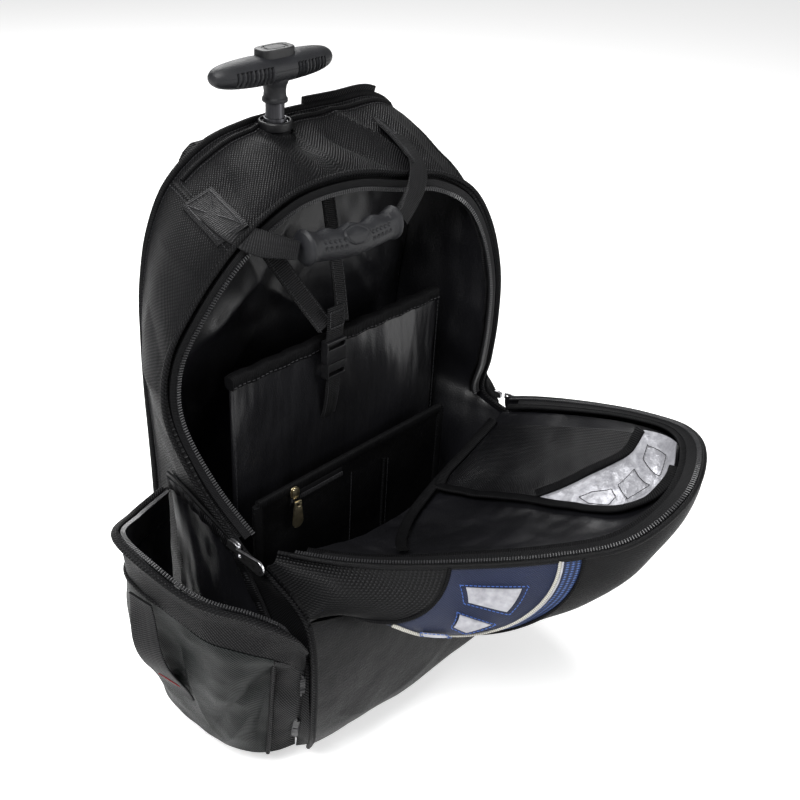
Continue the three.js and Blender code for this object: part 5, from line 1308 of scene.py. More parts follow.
def left_pocket(along, up):
    low, high = pocket_foot(along), pocket_rim(along)
    flare = np.abs(up) ** 1.6
    point = low + (high - low) * np.stack([flare, flare, up], -1)
    away = unit((low - (-0.9 * half_width, pocket_back - 0.45 * pocket_long, 0)) * (1, 1, 0))
    fold = 0.005 * np.sin(7 * math.pi * along) * np.sin(math.pi * up) ** 2
    swell = 0.011 * np.sin(math.pi * np.minimum(1, up * 1.1)) * np.abs(np.sin(math.pi * along)) ** 0.6
    point = point + away * (swell + fold)[..., None]
    clear = side_wall(-1, np.minimum((back_y - point[..., 1]) / bag_depth, 1), point[..., 2],
                      wall_step + cloth_thick)
    point[..., 0] = np.minimum(point[..., 0], clear[..., 0])
    return point


grey_nylon = woven("grey_nylon", (0.008, 0.010, 0.010), 0.48, 0.14, 0.0024, 22,
                   ((0.0012, 0.0019, 0.0018), (0.009, 0.0135, 0.0130)), (0.0004, 0.004))

# Folds of the pocket: start and end along and up, depth, reach
pocket_folds = (
    ((0.53, 0.74), (0.84, 0.80), 0.0060, 0.008), ((0.86, 0.76), (0.66, 0.42), -0.0070, 0.010),
    ((0.66, 0.42), (0.56, 0.08), -0.0060, 0.010), ((0.50, 0.60), (0.56, 0.10), 0.0050, 0.009),
    ((0.30, 0.70), (0.42, 0.10), 0.0045, 0.012), ((0.70, 0.30), (0.62, 0.02), 0.0045, 0.008),
    ((0.78, 0.50), (0.74, 0.05), -0.0040, 0.008), ((0.15, 0.60), (0.25, 0.10), -0.0040, 0.012),
)
pocket_parts = (
    ("left_pocket_face", (0, 0.80), (0, band_share - 0.006), (260, 120), grey_nylon, "grey_nylon",
     "left_pocket_panel"),
    ("left_pocket_front", (0.804, pocket_end), (0, band_share - 0.006), (60, 120), ribbed_nylon,
     "ribbed_nylon", None),
    ("left_pocket_rib_band", (0, pocket_end), (band_share, 1), (320, 34), ribbed_nylon,
     "ribbed_nylon", "left_pocket_band"),
)


def pocket_lift_at(net):
    return (ripple(net, 0.045, 0.0034, 12) + ripple(net, 0.018, 0.0012, 13)
            + creases(net, left_pocket, pocket_folds))


for name, along, up, steps, material, slot, node in pocket_parts:
    net = lattice(left_pocket, along, up, steps)
    fit(cloth(name, net, [material, satin_lining], side=-1, lift=pocket_lift_at(net)),
        "root", slot, *([node] if node else []))
band_hem = left_pocket(np.linspace(0.004, pocket_end, 220), np.full(220, band_share - 0.003))
hem_out = unit(np.cross(np.gradient(band_hem, axis=0), (0, 0, 1)))
fit(sweep("left_pocket_hem", band_hem - hem_out * 0.0006, (0 * hem_out) + (0, 0, 1),
          round_section(0.0040, 0.0034), ribbed_nylon), "root", "ribbed_nylon")
pocket_corner = left_pocket(np.full(90, 0.802), np.linspace(0.01, 0.79, 90))
fit(sweep("left_pocket_corner", pocket_corner, (0, 1.0, 0),
          round_section(0.0036, 0.0036), ribbed_nylon), "root", "ribbed_nylon")

pocket_rim_shares = np.linspace(0.015, pocket_end - 0.005, 300)
pocket_rim_path = left_pocket(pocket_rim_shares, np.full(300, 0.998))
rim_in = unit(np.cross((0, 0, 1), np.gradient(pocket_rim_path, axis=0)))
fit(sweep("left_pocket_rim", pocket_rim_path + (0, 0, 0.0006), rim_in, round_section(0.0056, 0.0040),
          ribbed_nylon), "root", "ribbed_nylon")
coil("left_pocket_teeth", pocket_rim_path + rim_in * 0.0060 + (0, 0, 0.0012), (0, 0, 1))

floor_shares = np.linspace(0.05, 0.93, 60)
floor_edge = left_pocket(floor_shares, np.full(60, 0.03))
floor_in = unit(np.cross((0, 0, 1), np.gradient(floor_edge, axis=0)))
floor_edge = floor_edge + floor_in * 1.6 * wall_step
floor_wall = side_wall(-1, (back_y - floor_edge[:, 1]) / bag_depth, pocket_base + 0.006, wall_step)
floor_edge[:, 0] = np.minimum(floor_edge[:, 0], floor_wall[:, 0] - 0.001)
share = np.linspace(0, 1, 30)[None, :, None]
floor_net = floor_edge[:, None] * (1 - share) + floor_wall[:, None] * share
floor_net[..., 2] = pocket_base + 0.006 + cloth_thick / 2
fit(cloth("left_pocket_base", floor_net, [grey_nylon], side=0), "root", "grey_nylon", "left_pocket_floor")

# Front end of the pocket, closed to the bag's wall
end_up = np.linspace(0.01, 0.985, 90)
end_line = left_pocket(np.full(90, pocket_end), end_up)
wall_line = side_wall(-1, np.minimum((back_y - end_line[:, 1] + 0.012) / bag_depth, 0.995),
                      end_line[:, 2], 0.0006)
share = np.linspace(0, 1, 14)[None, :, None]
end_net = end_line[:, None] * (1 - share) + wall_line[:, None] * share
fit(cloth("left_pocket_front_gusset", end_net, [ribbed_nylon], 0.0012, 0,
          ripple(end_net, 0.03, 0.0008, 43)), "root", "ribbed_nylon")


def mouth_tape(along, across):
    arch = 0.86 + 0.10 * np.sin(math.pi * np.minimum(1, 0.2 + along))
    height = pocket_base + pocket_high * (arch - np.maximum(0, along - 0.75))
    return side_wall(-1, 0.19 + 0.62 * along, height + (across - 0.5) * tape_wide, 0.0030)


fit(cloth("left_pocket_mouth_tape", lattice(mouth_tape, steps=(180, 6)), [zip_tape], tape_thick, 0),
    "root", "zip_tape", "left_pocket_inner_tape")


def pocket_inside(along, across):
    arch = 0.86 + 0.10 * np.sin(math.pi * np.minimum(1, 0.2 + along))
    top = pocket_base + pocket_high * (arch - np.maximum(0, along - 0.75)) - 0.3 * tape_wide
    low = pocket_base + 0.012
    return side_wall(-1, 0.20 + 0.60 * along, low + (top - low) * across, 0.0026)


inside_net = lattice(pocket_inside, steps=(120, 110))
inside_hold = np.sin(math.pi * np.linspace(0, 1, 111))[None] ** 0.6
fit(cloth("left_pocket_wall_lining", inside_net, [satin_lining], 0.0008, 0,
          ripple(inside_net, 0.030, 0.0012, 41) * inside_hold), "root", "satin_lining")
band_path = mouth_tape(np.linspace(0.005, 0.995, 200), np.full(200, -0.10)) - (0.0012, 0, 0)
band_path = band_path - (1, 0, 0) * (0.0006 * np.sin(np.linspace(0, 60, 200)))[:, None]
fit(sweep("left_pocket_mouth_band", band_path, unit(np.cross(np.gradient(band_path, axis=0), (1, 0, 0))),
          round_section(0.0110, 0.0026, 12, 1.6), binding), "root", "zip_tape")
mouth_path = mouth_tape(np.linspace(0.01, 0.99, 200), np.full(200, 0.18)) - (0.0014, 0, 0)
coil("left_pocket_mouth_teeth", mouth_path, (1, 0, 0), radius=0.00072)

webbing_cloth = finish("webbing", (0.006, 0.006, 0.007), 0.55, Specular_IOR_Level=0.15)
_, webbing_along, webbing_girth = cloth_place(webbing_cloth)
webbing_ribs = wave(webbing_cloth, webbing_along, 0.0018)
webbing_yarns = wave(webbing_cloth, webbing_girth, 0.0026)
webbing_weave = maths(webbing_cloth, "MULTIPLY", webbing_ribs,
                      maths(webbing_cloth, "MULTIPLY_ADD", webbing_yarns, 0.5, 0.5))
webbing_wear = cloud(webbing_cloth, solid_place(webbing_cloth), 60)
tint(webbing_cloth, maths(webbing_cloth, "MULTIPLY", webbing_weave, webbing_wear),
     (0.0022, 0.0022, 0.0025), (0.022, 0.022, 0.024))
relief(webbing_cloth, (webbing_weave, 0.0005), (webbing_wear, 0.0008))

loop_wide, loop_long, loop_lift, webbing_thick = 0.025, 0.105, 0.011, 0.0018
loop_t = np.linspace(0, 1, 90)
loop_up = band_share - 0.02 - loop_t * loop_long / pocket_high
loop_along = 0.40 + 0.08 * loop_t
loop_side = unit(left_pocket(loop_along + 0.02, loop_up) - left_pocket(loop_along - 0.02, loop_up))
loop_away = unit(np.cross(loop_side, (0, 0, 1)))
loop_path = left_pocket(loop_along, loop_up) + loop_away * (
    cloth_thick + loop_lift * np.sin(math.pi * loop_t) ** 2)[:, None]
fit(sweep("left_pocket_webbing", loop_path, loop_side, webbing_section(loop_wide, webbing_thick),
          webbing_cloth), "root", "webbing", "left_pocket_loop")
red_thread = clouded("red_thread", (0.22, 0.010, 0.014), 0.5, ((0.0001, 1500),),
                     ((0.12, 0.006, 0.010), (0.34, 0.020, 0.024)), Specular_IOR_Level=0.3)
tack_at = np.linspace(66, 72, 30)
tack_path = np.stack([np.interp(tack_at, np.arange(90), loop_path[:, k]) for k in range(3)], -1)
tack_path = tack_path + loop_away[69] * 0.0015 + loop_side[69] * np.linspace(-0.007, 0.007, 30)[:, None]
fit(stitch_row("loop_bar_tack", tack_path, red_thread, 0.0013, 0.0026, 0.00045), "root", "webbing")

# Right side pocket: a zipped dome of ribbed nylon, piped where it is sewn to the wall.


def right_pocket(along, up):
    wide = 0.55 + 0.45 * (1 - np.abs(2 * up - 1) ** 3)
    depth = 0.47 - 0.12 * up + (along - 0.5) * wide * 0.138 / bag_depth
    bulge = np.abs(np.sin(math.pi * along)) ** 0.55 * np.abs(np.sin(math.pi * up)) ** 0.45
    flat = wall_step + tape_inset
    return side_wall(1, depth, pocket_base + up * 0.198, flat + (0.044 - flat) * bulge)


right_net = lattice(right_pocket, steps=(150, 150))
right_arch = np.sin(math.pi * np.linspace(0, 1, 151))
right_hold = (right_arch[:, None] * right_arch) ** 0.6
right_lift = (ripple(right_net, 0.05, 0.0030, 14) + ripple(right_net, 0.02, 0.0010, 15)) * right_hold
fit(cloth("right_pocket_cloth", right_net, [ribbed_nylon, satin_lining], side=1, lift=-right_lift),
    "root", "ribbed_nylon", "right_pocket")
turn = np.linspace(0, 1, 90)
zero = np.zeros(90)
right_outline = np.concatenate([right_pocket(u, v)[:-1] for u, v in (
    (turn, zero + 0.004), (zero + 0.996, turn), (turn[::-1], zero + 0.996), (zero + 0.004, turn[::-1]))])
fit(sweep("right_pocket_piping", right_outline, (1.0, 0, 0),
          round_section(0.0036, 0.0036), binding), "root", "ribbed_nylon")
right_zip_path = right_pocket(np.full(140, 0.24), np.linspace(0.10, 0.93, 140)) + (0.0032, 0, 0)
coil("right_pocket_teeth", right_zip_path, (1, 0, 0), radius=0.00072)

# Laptop sleeve: a padded pad of black satin that stands in the bag on its floor, bound
# along its top. It is blown up a little by a cloth simulation.
inside_floor = 0.0269
sleeve_wide, sleeve_tall, sleeve_x = 0.241, 0.262, 0.006
sleeve_low, sleeve_y = inside_floor + 0.020, 0.0915


def pad(name, outline, near, far, material, growth, cap):
    """A padded piece: a thin board between two y planes (near and far may follow the
    outline), blown up by cloth under pressure and held within cap of where it began."""
    rings = 12
    middle = outline.mean(axis=0)
    shares = np.linspace(1, 0.04, rings)
    net = middle + (outline - middle)[None] * shares[:, None, None]
    crown = growth * (1 - shares ** 6)[:, None]
    front = np.stack([net[..., 0], near + crown + 0 * net[..., 0], net[..., 1]], -1)
    back = np.stack([net[..., 0], far - crown + 0 * net[..., 0], net[..., 1]], -1)
    layers = np.concatenate([front[::-1], back])
    made = outside_out(piece(name, layers, tube_faces(*layers.shape[:2]), [material]))
    bpy.context.view_layer.objects.active = made
    remesh = made.modifiers.new("even", "REMESH")
    remesh.mode, remesh.voxel_size = "VOXEL", 0.0048
    freeze(made)
    start = np.empty(len(made.data.vertices) * 3)
    made.data.vertices.foreach_get("co", start)
    flat = start.reshape(-1, 3)[:, [0, 2]]
    edge_gap = np.min([np.linalg.norm(flat - corner, axis=1) for corner in outline], axis=0)
    hem = made.vertex_groups.new(name="hem")
    hem.add(np.flatnonzero(edge_gap < 0.0055).tolist(), 1.0, "REPLACE")
    puff = made.modifiers.new("puff", "CLOTH")
    puff.settings.vertex_group_mass = hem.name
    puff.settings.use_pressure = True
    puff.settings.uniform_pressure_force = 4
    puff.settings.effector_weights.gravity = 0
    puff.point_cache.frame_start, puff.point_cache.frame_end = 1, 20
    for step in range(1, 21):
        bpy.context.scene.frame_set(step)
        bpy.context.view_layer.update()
    freeze(made)
    bpy.context.scene.frame_set(1)
    end = np.empty(len(start))
    made.data.vertices.foreach_get("co", end)
    moved = (end - start).reshape(-1, 3)
    far_moved = np.linalg.norm(moved, axis=1, keepdims=True)
    moved *= np.minimum(1, cap / np.maximum(far_moved, 1e-9))
    made.data.vertices.foreach_set("co", (start.reshape(-1, 3) + moved).ravel())
    smooth = made.modifiers.new("smooth", "SUBSURF")
    smooth.levels = smooth.render_levels = 1
    freeze(made)
    made.data.shade_smooth()
    lay_flat(made)
    return made


def lay_flat(made):
    """Gives a remeshed pad its place on the cloth again, seen from the front."""
    places = np.empty(len(made.data.vertices) * 3)
    made.data.vertices.foreach_get("co", places)
    corners = np.empty(len(made.data.loops), np.int32)
    made.data.loops.foreach_get("vertex_index", corners)
    layer = made.data.uv_layers.new(name="cloth")
    layer.data.foreach_set("uv", places.reshape(-1, 3)[corners][:, [0, 2]].ravel())


def freeze(made):
    """Turn a piece's modifiers into its mesh and take them off."""
    mesh = bpy.data.meshes.new_from_object(made.evaluated_get(bpy.context.evaluated_depsgraph_get()))
    made.modifiers.clear()
    old, made.data = made.data, mesh
    bpy.data.meshes.remove(old)


def rounded_outline(wide, tall, corner, x, low, count=60):
    """A square with round corners in the upright plane, from its lower left round."""
    turn = np.linspace(0, math.pi / 2, 9)
    corners = ((wide / 2 - corner, corner, -math.pi / 2), (wide / 2 - corner, tall - corner, 0),
               (corner - wide / 2, tall - corner, math.pi / 2), (corner - wide / 2, corner, math.pi))
    rows = np.concatenate([np.stack([x + cx + corner * np.cos(turn + start),
                                     low + cz + corner * np.sin(turn + start)], -1)
                           for cx, cz, start in corners])
    closed = np.vstack([rows, rows[:1]])
    length = np.concatenate([[0], np.cumsum(np.linalg.norm(np.diff(closed, axis=0), axis=1))])
    stations = np.linspace(0, length[-1], 4 * count, endpoint=False)
    return np.stack([np.interp(stations, length, closed[:, k]) for k in range(2)], -1)


sleeve_outline = rounded_outline(sleeve_wide, sleeve_tall, 0.006, sleeve_x, sleeve_low)
sleeve_satin = clouded(
    "sleeve_satin", (0.005, 0.005, 0.006), 0.30,
    ((0.022, 11, 1.5, (1, 1, 0.6)), (0.004, 42, 2.0, (1, 1, 0.25)), (0.0002, 900, 1.0)),
    ((0.0012, 0.0012, 0.0015), (0.009, 0.009, 0.011)), (0.26, 0.42), 0, 2, Specular_IOR_Level=0.55)
sleeve = pad("laptop_sleeve_pad", sleeve_outline, sleeve_y - 0.0032, sleeve_y + 0.0032,
             sleeve_satin, -0.0010, 0.0030)
fit(sleeve, "root", "satin_lining", "laptop_sleeve")
sleeve_top = sleeve_low + sleeve_tall
binding_x = sleeve_x + np.linspace(-0.5, 0.5, 220) * (sleeve_wide - 0.004)
pucker = 0.0003 * np.sin(binding_x * 2 * math.pi / 0.027) + 0.0001 * np.sin(binding_x * 2 * math.pi / 0.011)
binding_path = np.stack([binding_x, sleeve_y + pucker, sleeve_top - 0.0052 + pucker], -1)
fit(sweep("sleeve_top_binding", binding_path, (0, 1.0, 0),
          round_section(0.0100, 0.0120, 16, 1.8), binding), "root", "ribbed_nylon")
for side in (-1, 1):
    edge_z = np.linspace(sleeve_low + 0.008, sleeve_top - 0.006, 120)
    edge_path = np.stack([0 * edge_z + sleeve_x + side * (sleeve_wide / 2 - 0.003),
                          0 * edge_z + sleeve_y - 0.0046, edge_z], -1)
    fit(stitch_row(f"sleeve_edge_stitches_{side + 1}", edge_path, thread, 0.0042, 0.0028, 0.0004),
        "root", "ribbed_nylon")
top_stitches = binding_path[::2] + (0, -0.0053, -0.0026)
fit(stitch_row("sleeve_top_stitches", top_stitches, thread, 0.0045, 0.0026, 0.0004), "root",
    "ribbed_nylon")

# Organizer: a flat pocket of smooth nylon in front of the sleeve, bound all round, with
# a short zip across its left half and two sewn partitions.
organizer_wide, organizer_tall, organizer_near, organizer_far = 0.225, 0.178, 0.0634, 0.0660
organizer_top = inside_floor + organizer_tall


def organizer_face(across, up):
    x = (across - 0.5) * organizer_wide
    z = inside_floor + up * organizer_tall
    return np.stack([x, 0 * x + organizer_near, z], -1)


def filled_board(name, outline, near, far, material, lift_size, seed):
    """A flat cloth board between two y planes; its face towards the opening ripples."""
    middle = outline.mean(axis=0)
    shares = np.linspace(1, 0.01, 40)
    net = middle + (outline - middle)[None] * shares[:, None, None]
    face = np.stack([net[..., 0], near + 0 * net[..., 0], net[..., 1]], -1)
    hold = np.minimum(1, (1 - shares) * 6)[:, None]
    lift = ripple(face, *lift_size, seed) * hold
    front = face - (0, 1, 0) * np.maximum(lift, -0.0007)[..., None]
    back = np.stack([net[..., 0], far + 0 * net[..., 0], net[..., 1]], -1)
    layers = np.concatenate([front[::-1], back])
    uv = np.concatenate([net[::-1], net])
    return outside_out(piece(name, layers, tube_faces(*layers.shape[:2]), [material], uv))


organizer_outline = rounded_outline(organizer_wide, organizer_tall, 0.008, 0, inside_floor)
fit(filled_board("organizer_cloth", organizer_outline, organizer_near, organizer_far, smooth_nylon,
                 (0.04, 0.0030), 21), "root", "smooth_nylon", "organizer_pocket")
edge_x = np.linspace(0.5, -0.5, 120) * organizer_wide
side_z = np.linspace(inside_floor + 0.01, organizer_top, 80)
binding_route = np.concatenate([
    np.stack([0 * side_z + organizer_wide / 2, side_z], -1),
    np.stack([edge_x, 0 * edge_x + organizer_top], -1)[1:],
    np.stack([0 * side_z - organizer_wide / 2, side_z[::-1]], -1)[1:]])
hem_x = organizer_wide / 2 - 0.003
binding_route = np.stack([np.clip(binding_route[:, 0], -hem_x, hem_x), 0 * binding_route[:, 0] + 0.0647,
                          np.minimum(binding_route[:, 1], organizer_top - 0.004)], -1)
fit(sweep("organizer_binding", binding_route, (0, 1.0, 0),
          round_section(0.0056, 0.0090, 16, 1.8), binding), "root", "zip_tape")
zip_height = organizer_top - 0.014
zip_share = (zip_height - inside_floor) / organizer_tall
organizer_zip = organizer_face(np.linspace(0.16, 0.42, 60), np.full(60, zip_share)) - (0, 0.0010, 0)
fit(sweep("organizer_zip_tape", organizer_zip, (0, 0, 1.0),
          webbing_section(0.012, 0.0010), zip_tape), "root", "zip_tape")
coil("organizer_teeth", organizer_zip - (0, 0.0012, 0), (0, 1, 0))
for number, (x, low, high) in enumerate(((-0.006, 0.02, 0.90), (0.040, 0.30, 0.86))):
    seam = organizer_face(np.full(60, 0.5 + x / organizer_wide), np.linspace(low, high, 60)) - (0, 0.0012, 0)
    fit(stitch_row(f"organizer_seam_{number}", seam, thread, 0.0038, 0.0026, 0.0004), "root",
        "smooth_nylon")
slit = organizer_face(np.full(50, 0.655), np.linspace(0.42, 0.86, 50)) - (0, 0.0012, 0)
fit(sweep("organizer_slit", slit, (1.0, 0, 0), round_section(0.0030, 0.0026),
          binding), "root", "smooth_nylon")

# Tie straps: two webbings come down from under the collar to a side-release buckle on
# a stitched tab, which hold the sleeve back.
tie_wide, tie_y = 0.016, 0.079
join = np.array((-0.014, tie_y, inside_floor + 1.11 * sleeve_tall))


def bezier(points, count):
    t = np.linspace(0, 1, count)[:, None]
    points = [np.asarray(point, float) for point in points]
    if len(points) == 3:
        return (1 - t) ** 2 * points[0] + 2 * (1 - t) * t * points[1] + t * t * points[2]
    return ((1 - t) ** 3 * points[0] + 3 * (1 - t) ** 2 * t * points[1]
            + 3 * (1 - t) * t * t * points[2] + t ** 3 * points[3])


for name, x, z, end_x in (("left", -0.33, 0.875, -0.00992), ("right", 0.20, 0.895, 0.0088)):
    start = np.array((x * half_width, 0.1394, z * bag_height))
    end = join + (end_x, 0, 0.008)
    middle = (start + end) / 2 + (0, -0.004, -0.006)
    run = bezier((start, middle, end), 60)
    side = unit(np.cross(unit(np.gradient(run, axis=0)), (0, -1, 0)))
    fit(sweep(f"tie_webbing_{name}", run, side, webbing_section(tie_wide, webbing_thick), webbing_cloth),
        "root", "webbing", f"tie_strap_{name}")
    away = unit(np.cross(side, np.gradient(run, axis=0)))
    away *= -np.sign(away[:, 1:2])
    for edge in (-1, 1):
        row = run + side * edge * (tie_wide / 2 - 0.002) + away * 0.0011
        fit(stitch_row(f"tie_stitches_{name}_{edge + 1}", row, thread, 0.0036, 0.0024, 0.00035),
            "root", "webbing")
for half in ("body", "tongue"):
    fit(moulded(f"tie_buckle_{half}", f"buckle_{half}", black_plastic, 0.0008), "root",
        "black_plastic", f"buckle_{half}")
tab_high = 0.27632
tab_run = bezier(((join[0], tie_y, tab_high), (join[0], tie_y, tab_high - 0.024),
                  (join[0], 0.0848, tab_high - 0.040)), 50)
fit(sweep("tie_tab_webbing", tab_run, (1.0, 0, 0),
          webbing_section(tie_wide, webbing_thick), webbing_cloth), "root", "webbing", "tie_tab")
for edge in (-1, 1):
    fit(stitch_row(f"tab_stitches_{edge + 1}", tab_run + (edge * (tie_wide / 2 - 0.002), -0.0011, 0),
                   thread, 0.0036, 0.0024, 0.00035), "root", "webbing")
loop_run = bezier(((join[0], tie_y - 0.0016, join[2] + 0.024), (join[0], tie_y - 0.0022, join[2] + 0.008),
                   (join[0], tie_y + 0.0004, join[2] - 0.012)), 40)
fit(sweep("tie_join_webbing", loop_run, (1.0, 0, 0),
          round_section(0.0190, 0.0018, 12, 1.4), webbing_cloth), "root", "webbing")
join_box = np.array([(-1, 0), (1, 0), (1, 1), (-1, 1), (-1, 0)]) * (0.0075, 0.014)
join_box = np.stack([join[0] + join_box[:, 0], 0 * join_box[:, 0] + tie_y - 0.0032,
                     join[2] + 0.006 + join_box[:, 1]], -1)
fit(stitch_row("tie_join_stitches", join_box, thread, 0.0030, 0.0022, 0.0004), "root", "webbing")

# Carry handle: two webbings sewn to the top wall come over the opening's edge and are
# rolled into a moulded rubber grip with finger scallops and flared collars.
handle_wide, handle_standoff = 0.020, 0.005
grip_left = np.array((-0.345 * half_width, back_y - 0.428 * bag_depth - 0.012, 0.868 * bag_height))
grip_right = np.array((grip_left[0] + 0.100, grip_left[1], 0.856 * bag_height))
collar_at = (0, 0.03, 0.07, 0.12, 0.30, 0.50, 0.70, 0.88, 0.93, 0.97, 1.0)
collar_swell = (0.93, 1.14, 1.02, 0.94, 0.97, 1.02, 0.97, 0.94, 1.00, 1.10, 0.90)
# Dimples in the grip's front: share along it and turn about it
dimples = [(at, turn) for ends in ((0.16, 0.36), (0.66, 0.84)) for at in np.linspace(*ends, 5)
           for turn in (-0.52, -0.06)]


def carry_grip():
    shares = np.linspace(0, 1, 181)
    swell = spline([(value, 0, 0) for value in collar_swell])(
        np.interp(shares, collar_at, np.linspace(0, 1, len(collar_at))))[:, :1]
    turn = np.arange(120) * 2 * math.pi / 120
    behind = np.clip(np.cos(turn - 0.28 * math.pi), 0, 1)[None] ** 0.7
    fingers = np.where((shares > 0.12) & (shares < 0.88), np.cos((shares - 0.5) * 8.2 * math.pi), 0)
    reach = 0.0128 * (swell + 0.11 * (fingers[:, None] - 0.4) * behind)
    pressed = 0 * reach
    for at, angle in dimples:
        apart = np.hypot((shares[:, None] - at) * 0.100,
                         np.angle(np.exp(1j * (turn[None] - math.pi - angle))) * 0.0128)
        pressed = np.maximum(pressed, 0.0015 * np.exp(-(apart / 0.0015) ** 4))
    apart = np.hypot((shares[:, None] - 0.50) * 0.100,
                     np.angle(np.exp(1j * (turn[None] - math.pi + 0.66))) * 0.0205)
    ring = (0.0010 * np.exp(-((apart - 0.0118) / 0.0009) ** 2)
            - 0.0006 * np.exp(-((apart - 0.0138) / 0.0008) ** 2))
    reach = reach - pressed + ring
    centre = grip_left + (grip_right - grip_left) * shares[:, None]
    centre[:, 2] -= 0.005 * np.sin(math.pi * shares)
    x = centre[:, :1] + 0 * reach
    y = centre[:, 1:2] + 0.85 * reach * np.cos(turn)
    z = centre[:, 2:] + reach * np.sin(turn)
    uv = np.stack([x, np.broadcast_to(turn * 0.0128, x.shape)], -1)
    return outside_out(piece("carry_grip_rubber", np.stack([x, y, z], -1), tube_faces(*reach.shape),
                             [grip_rubber], uv, sharp=60))


fit(carry_grip(), "root", "soft_rubber", "carry_grip")

for name, anchor, end, away in (("left", 0.385, grip_left, -1), ("right", 0.560, grip_right, 1)):
    high = on_wall(anchor, np.array(0.62), 0.0028)
    edge = on_wall(anchor, np.array(1.0), handle_standoff) + (0, -0.007, 0)
    run = bezier((high, edge * 0.75 + high * 0.25, edge, end + (away * 0.006, 0, 0)), 80)
    flat = np.broadcast_to(unit(np.array((1.0, 0, -0.35 * away))), run.shape)
    rolled = np.clip((np.linspace(0, 1, 80) - 0.70) / 0.30, 0, 1)[:, None, None] ** 1.3
    shape = (webbing_section(handle_wide, webbing_thick)[None]
             * (1 + np.array((-0.30, 3.2)) * rolled))
    fit(sweep(f"handle_webbing_{name}_strap", run, flat, shape, webbing_cloth), "root", "webbing",
        f"handle_webbing_{name}")
    base = on_wall(anchor, np.linspace(0.40, 0.93, 60), 0.0012)
    across_anchor = unit(np.cross(outwards(base), np.gradient(base, axis=0)))
    fit(sweep(f"handle_anchor_{name}", base, across_anchor, webbing_section(0.027, 0.0026), webbing_cloth),
        "root", "webbing")
    corners = [(-1, 0.05), (1, 0.05), (1, 0.95), (-1, 0.95), (-1, 0.05), (1, 0.95), (1, 0.05), (-1, 0.95)]
    stitched = []
    for (side0, at0), (side1, at1) in zip(corners, corners[1:]):
        for t in np.linspace(0, 1, 24, endpoint=False):
            at = (at0 + (at1 - at0) * t) * 59
            low = min(int(at), 58)
            place = base[low] + (base[low + 1] - base[low]) * (at - low)
            stitched.append(place + across_anchor[low] * 0.0105 * (side0 + (side1 - side0) * t)
                            + outwards(place) * 0.0016)
    fit(stitch_row(f"handle_anchor_{name}_stitches", np.array(stitched), thread, 0.0032, 0.0024, 0.0004),
        "root", "webbing")

# Shoulder straps: two padded straps of smooth nylon lie on the back panel, bound round
# their edges. A webbing runs from each through a ladder buckle to the bag's foot.
shoulder_top, shoulder_long, shoulder_wide, shoulder_thick = 0.451, 0.292, 0.072, 0.013
shoulder_y = back_y + 0.002 + shoulder_thick / 2
for side, top, bottom in (("left", -0.22, -0.50), ("right", 0.50, 0.52)):
    share = np.linspace(0, 1, 60)
    x = half_width * (top + (bottom - top) * share ** 1.5)
    half = shoulder_wide / 2 * (1 - 0.35 * share ** 2)
    ends = np.minimum(share, 1 - share)
    half = half * (0.65 + 0.35 * np.sqrt(np.clip(ends / 0.04 + 0.01, 0, 1)))
    z = shoulder_top - shoulder_long * share
    lower = np.linspace(x[-1] - half[-1], x[-1] + half[-1], 14)[1:-1]
    outline = np.concatenate([np.stack([x - half, z], -1), np.stack([lower, 0 * lower + z[-1]], -1),
                              np.stack([x + half, z], -1)[::-1]])
    strap = pad(f"shoulder_pad_{side}", outline, shoulder_y - 0.0042, shoulder_y + 0.0042,
                smooth_nylon, -0.0008, 0.0035)
    fit(strap, "root", "smooth_nylon", f"shoulder_strap_{side}")
    closed = np.vstack([outline, outline[:1]])
    bound = np.stack([closed[:, 0], 0 * closed[:, 0] + shoulder_y, closed[:, 1]], -1)
    fit(sweep(f"shoulder_binding_{side}", bound, (0, 1.0, 0),
              round_section(0.0105, 0.0048, 16, 1.6), binding), "root", "smooth_nylon")
    low_x = half_width * bottom
    tail_x = low_x + math.copysign(0.006, bottom)
    fit(moulded(f"ladder_{side}", f"ladder_buckle_{side}", black_plastic, 0.0010), "root",
        "black_plastic", f"ladder_buckle_{side}")
    tail = bezier(((low_x, back_y + 0.0036, 0.130), ((low_x + tail_x) / 2, back_y + 0.0028, 0.110),
                   (tail_x, back_y + 0.002, 0.090)), 40)
    fit(sweep(f"tail_webbing_{side}", tail, (1.0, 0, 0),
              webbing_section(0.025, webbing_thick), webbing_cloth), "root", "webbing",
        f"strap_tail_{side}")
    wrap = [(0.0036, 0.1300), (0.0040, 0.1345), (0.0062, 0.1385), (0.0098, 0.1400), (0.0108, 0.1430),
            (0.0098, 0.1460), (0.0062, 0.1478), (0.0042, 0.1510), (0.0040, 0.1560), (0.0050, 0.1640)]
    wrap = spline([(low_x, back_y + y, z) for y, z in wrap])(np.linspace(0, 1, 70))
    fit(sweep(f"wrap_webbing_{side}", wrap, (1.0, 0, 0),
              webbing_section(0.024, webbing_thick), webbing_cloth), "root", "webbing")

# Zip sliders and pulls: cast sliders whose two wings are joined by a nose, with a
# tapered pull plate on a bridge. The main ones are bare steel and the organizer's brass.
brass = clouded("brass", (0.42, 0.27, 0.10), 0.32, ((0.00008, 320, 4.0),),
                ((0.40, 0.33, 0.20), (0.76, 0.67, 0.46)), (0.24, 0.46), Metallic=1.0)
slider_long, slider_wide, slider_thick, pull_thick = 0.012, 0.009, 0.004, 0.002


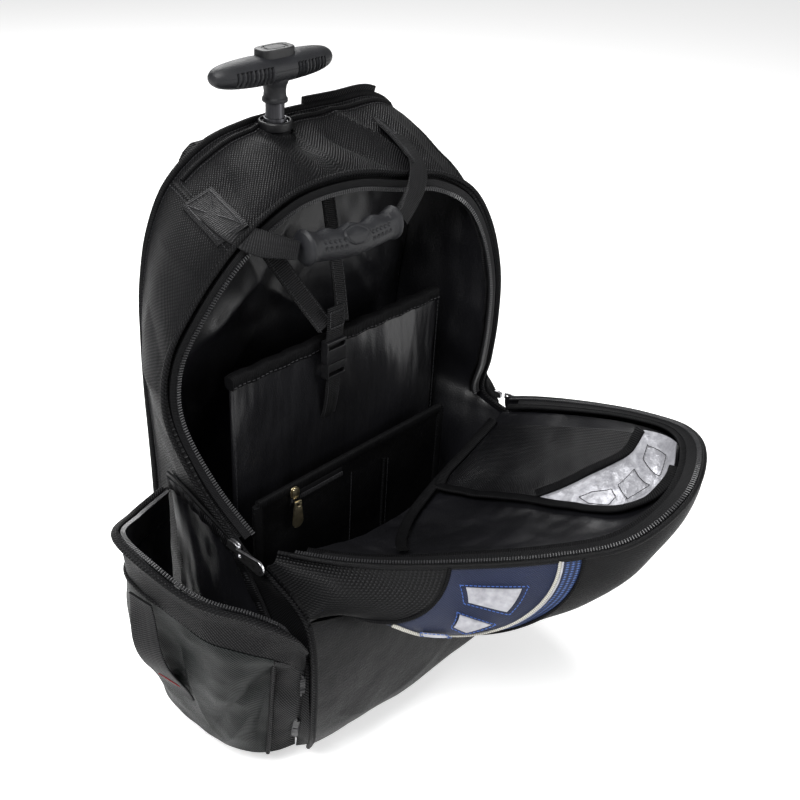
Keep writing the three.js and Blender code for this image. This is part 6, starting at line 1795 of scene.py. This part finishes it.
def zip_slider(name, bar, basis, scale, material):
    """Two wings with a channel between them, joined by a nose."""
    turn = Matrix([Vector(axis) for axis in basis]).transposed()
    middle = Vector((0, 0.62 * slider_long * scale, -0.5 * slider_thick * scale - pull_thick))
    outline = [(-0.34, -0.5), (0.34, -0.5), (0.46, -0.30), (0.5, 0.10), (0.42, 0.42), (0.20, 0.5),
               (-0.20, 0.5), (-0.42, 0.42), (-0.5, 0.10), (-0.46, -0.30)]
    count = len(outline)
    work = bmesh.new()
    for low, high, width in ((-0.5, -0.16, 1.0), (0.16, 0.5, 1.0), (-0.2, 0.2, 0.42)):
        rings = [[work.verts.new((px * slider_wide * scale * width, py * slider_long * scale,
                                  level * slider_thick * scale)) for px, py in outline]
                 for level in (low, high)]
        work.faces.new(rings[0][::-1])
        work.faces.new(rings[1])
        for k in range(count):
            after = (k + 1) % count
            work.faces.new((rings[0][k], rings[0][after], rings[1][after], rings[1][k]))
    bmesh.ops.recalc_face_normals(work, faces=work.faces)
    edges = [e for e in work.edges if e.calc_face_angle(0) > 0.5]
    bmesh.ops.bevel(work, geom=edges, offset=0.0005 * scale, segments=2, profile=0.5, affect="EDGES",
                    clamp_overlap=True)
    for vertex in work.verts:
        vertex.co = turn @ (vertex.co + middle) + Vector(bar)
    mesh = bpy.data.meshes.new(name)
    work.to_mesh(mesh)
    work.free()
    mesh.materials.append(material)
    mesh.shade_smooth()
    mesh.set_sharp_from_angle(angle=math.radians(35))
    thing = bpy.data.objects.new(name, mesh)
    bpy.context.collection.objects.link(thing)
    return outside_out(thing)


hinge_left, hinge_right = front_edge(np.array((hinge_row / last_row, 1 - hinge_row / last_row)))
sliders = (
    ("main_left", hinge_left + (-0.010, -0.008, 0.002), ((0, 0, 1), (0, 1, 0), (-1, 0, 0)), 1.0,
     bare_steel, "bare_steel", "left_pull"),
    ("main_right", hinge_right + (0.009, -0.020, 0), ((0, 0, -1), (0, 1, 0), (1, 0, 0)), 0.72,
     bare_steel, "bare_steel", "right_pull"),
    ("organizer", np.array((-0.46 * half_width, back_y - 0.114 - cloth_thick - 0.007,
                            inside_floor + 0.93 * organizer_tall)),
     ((1, 0, 0), (0, 0, 1), (0, -1, 0)), 0.85, brass, "brass", "organizer_tab"),
)
for name, bar, basis, scale, material, slot, body in sliders:
    fit(zip_slider(f"{name}_cast_slider", bar, basis, scale, material), "root", slot, f"{name}_slider")
    fit(moulded(f"{name}_pull_plate", f"{name}_pull", material, 0.00045), body, slot, f"{name}_pull")
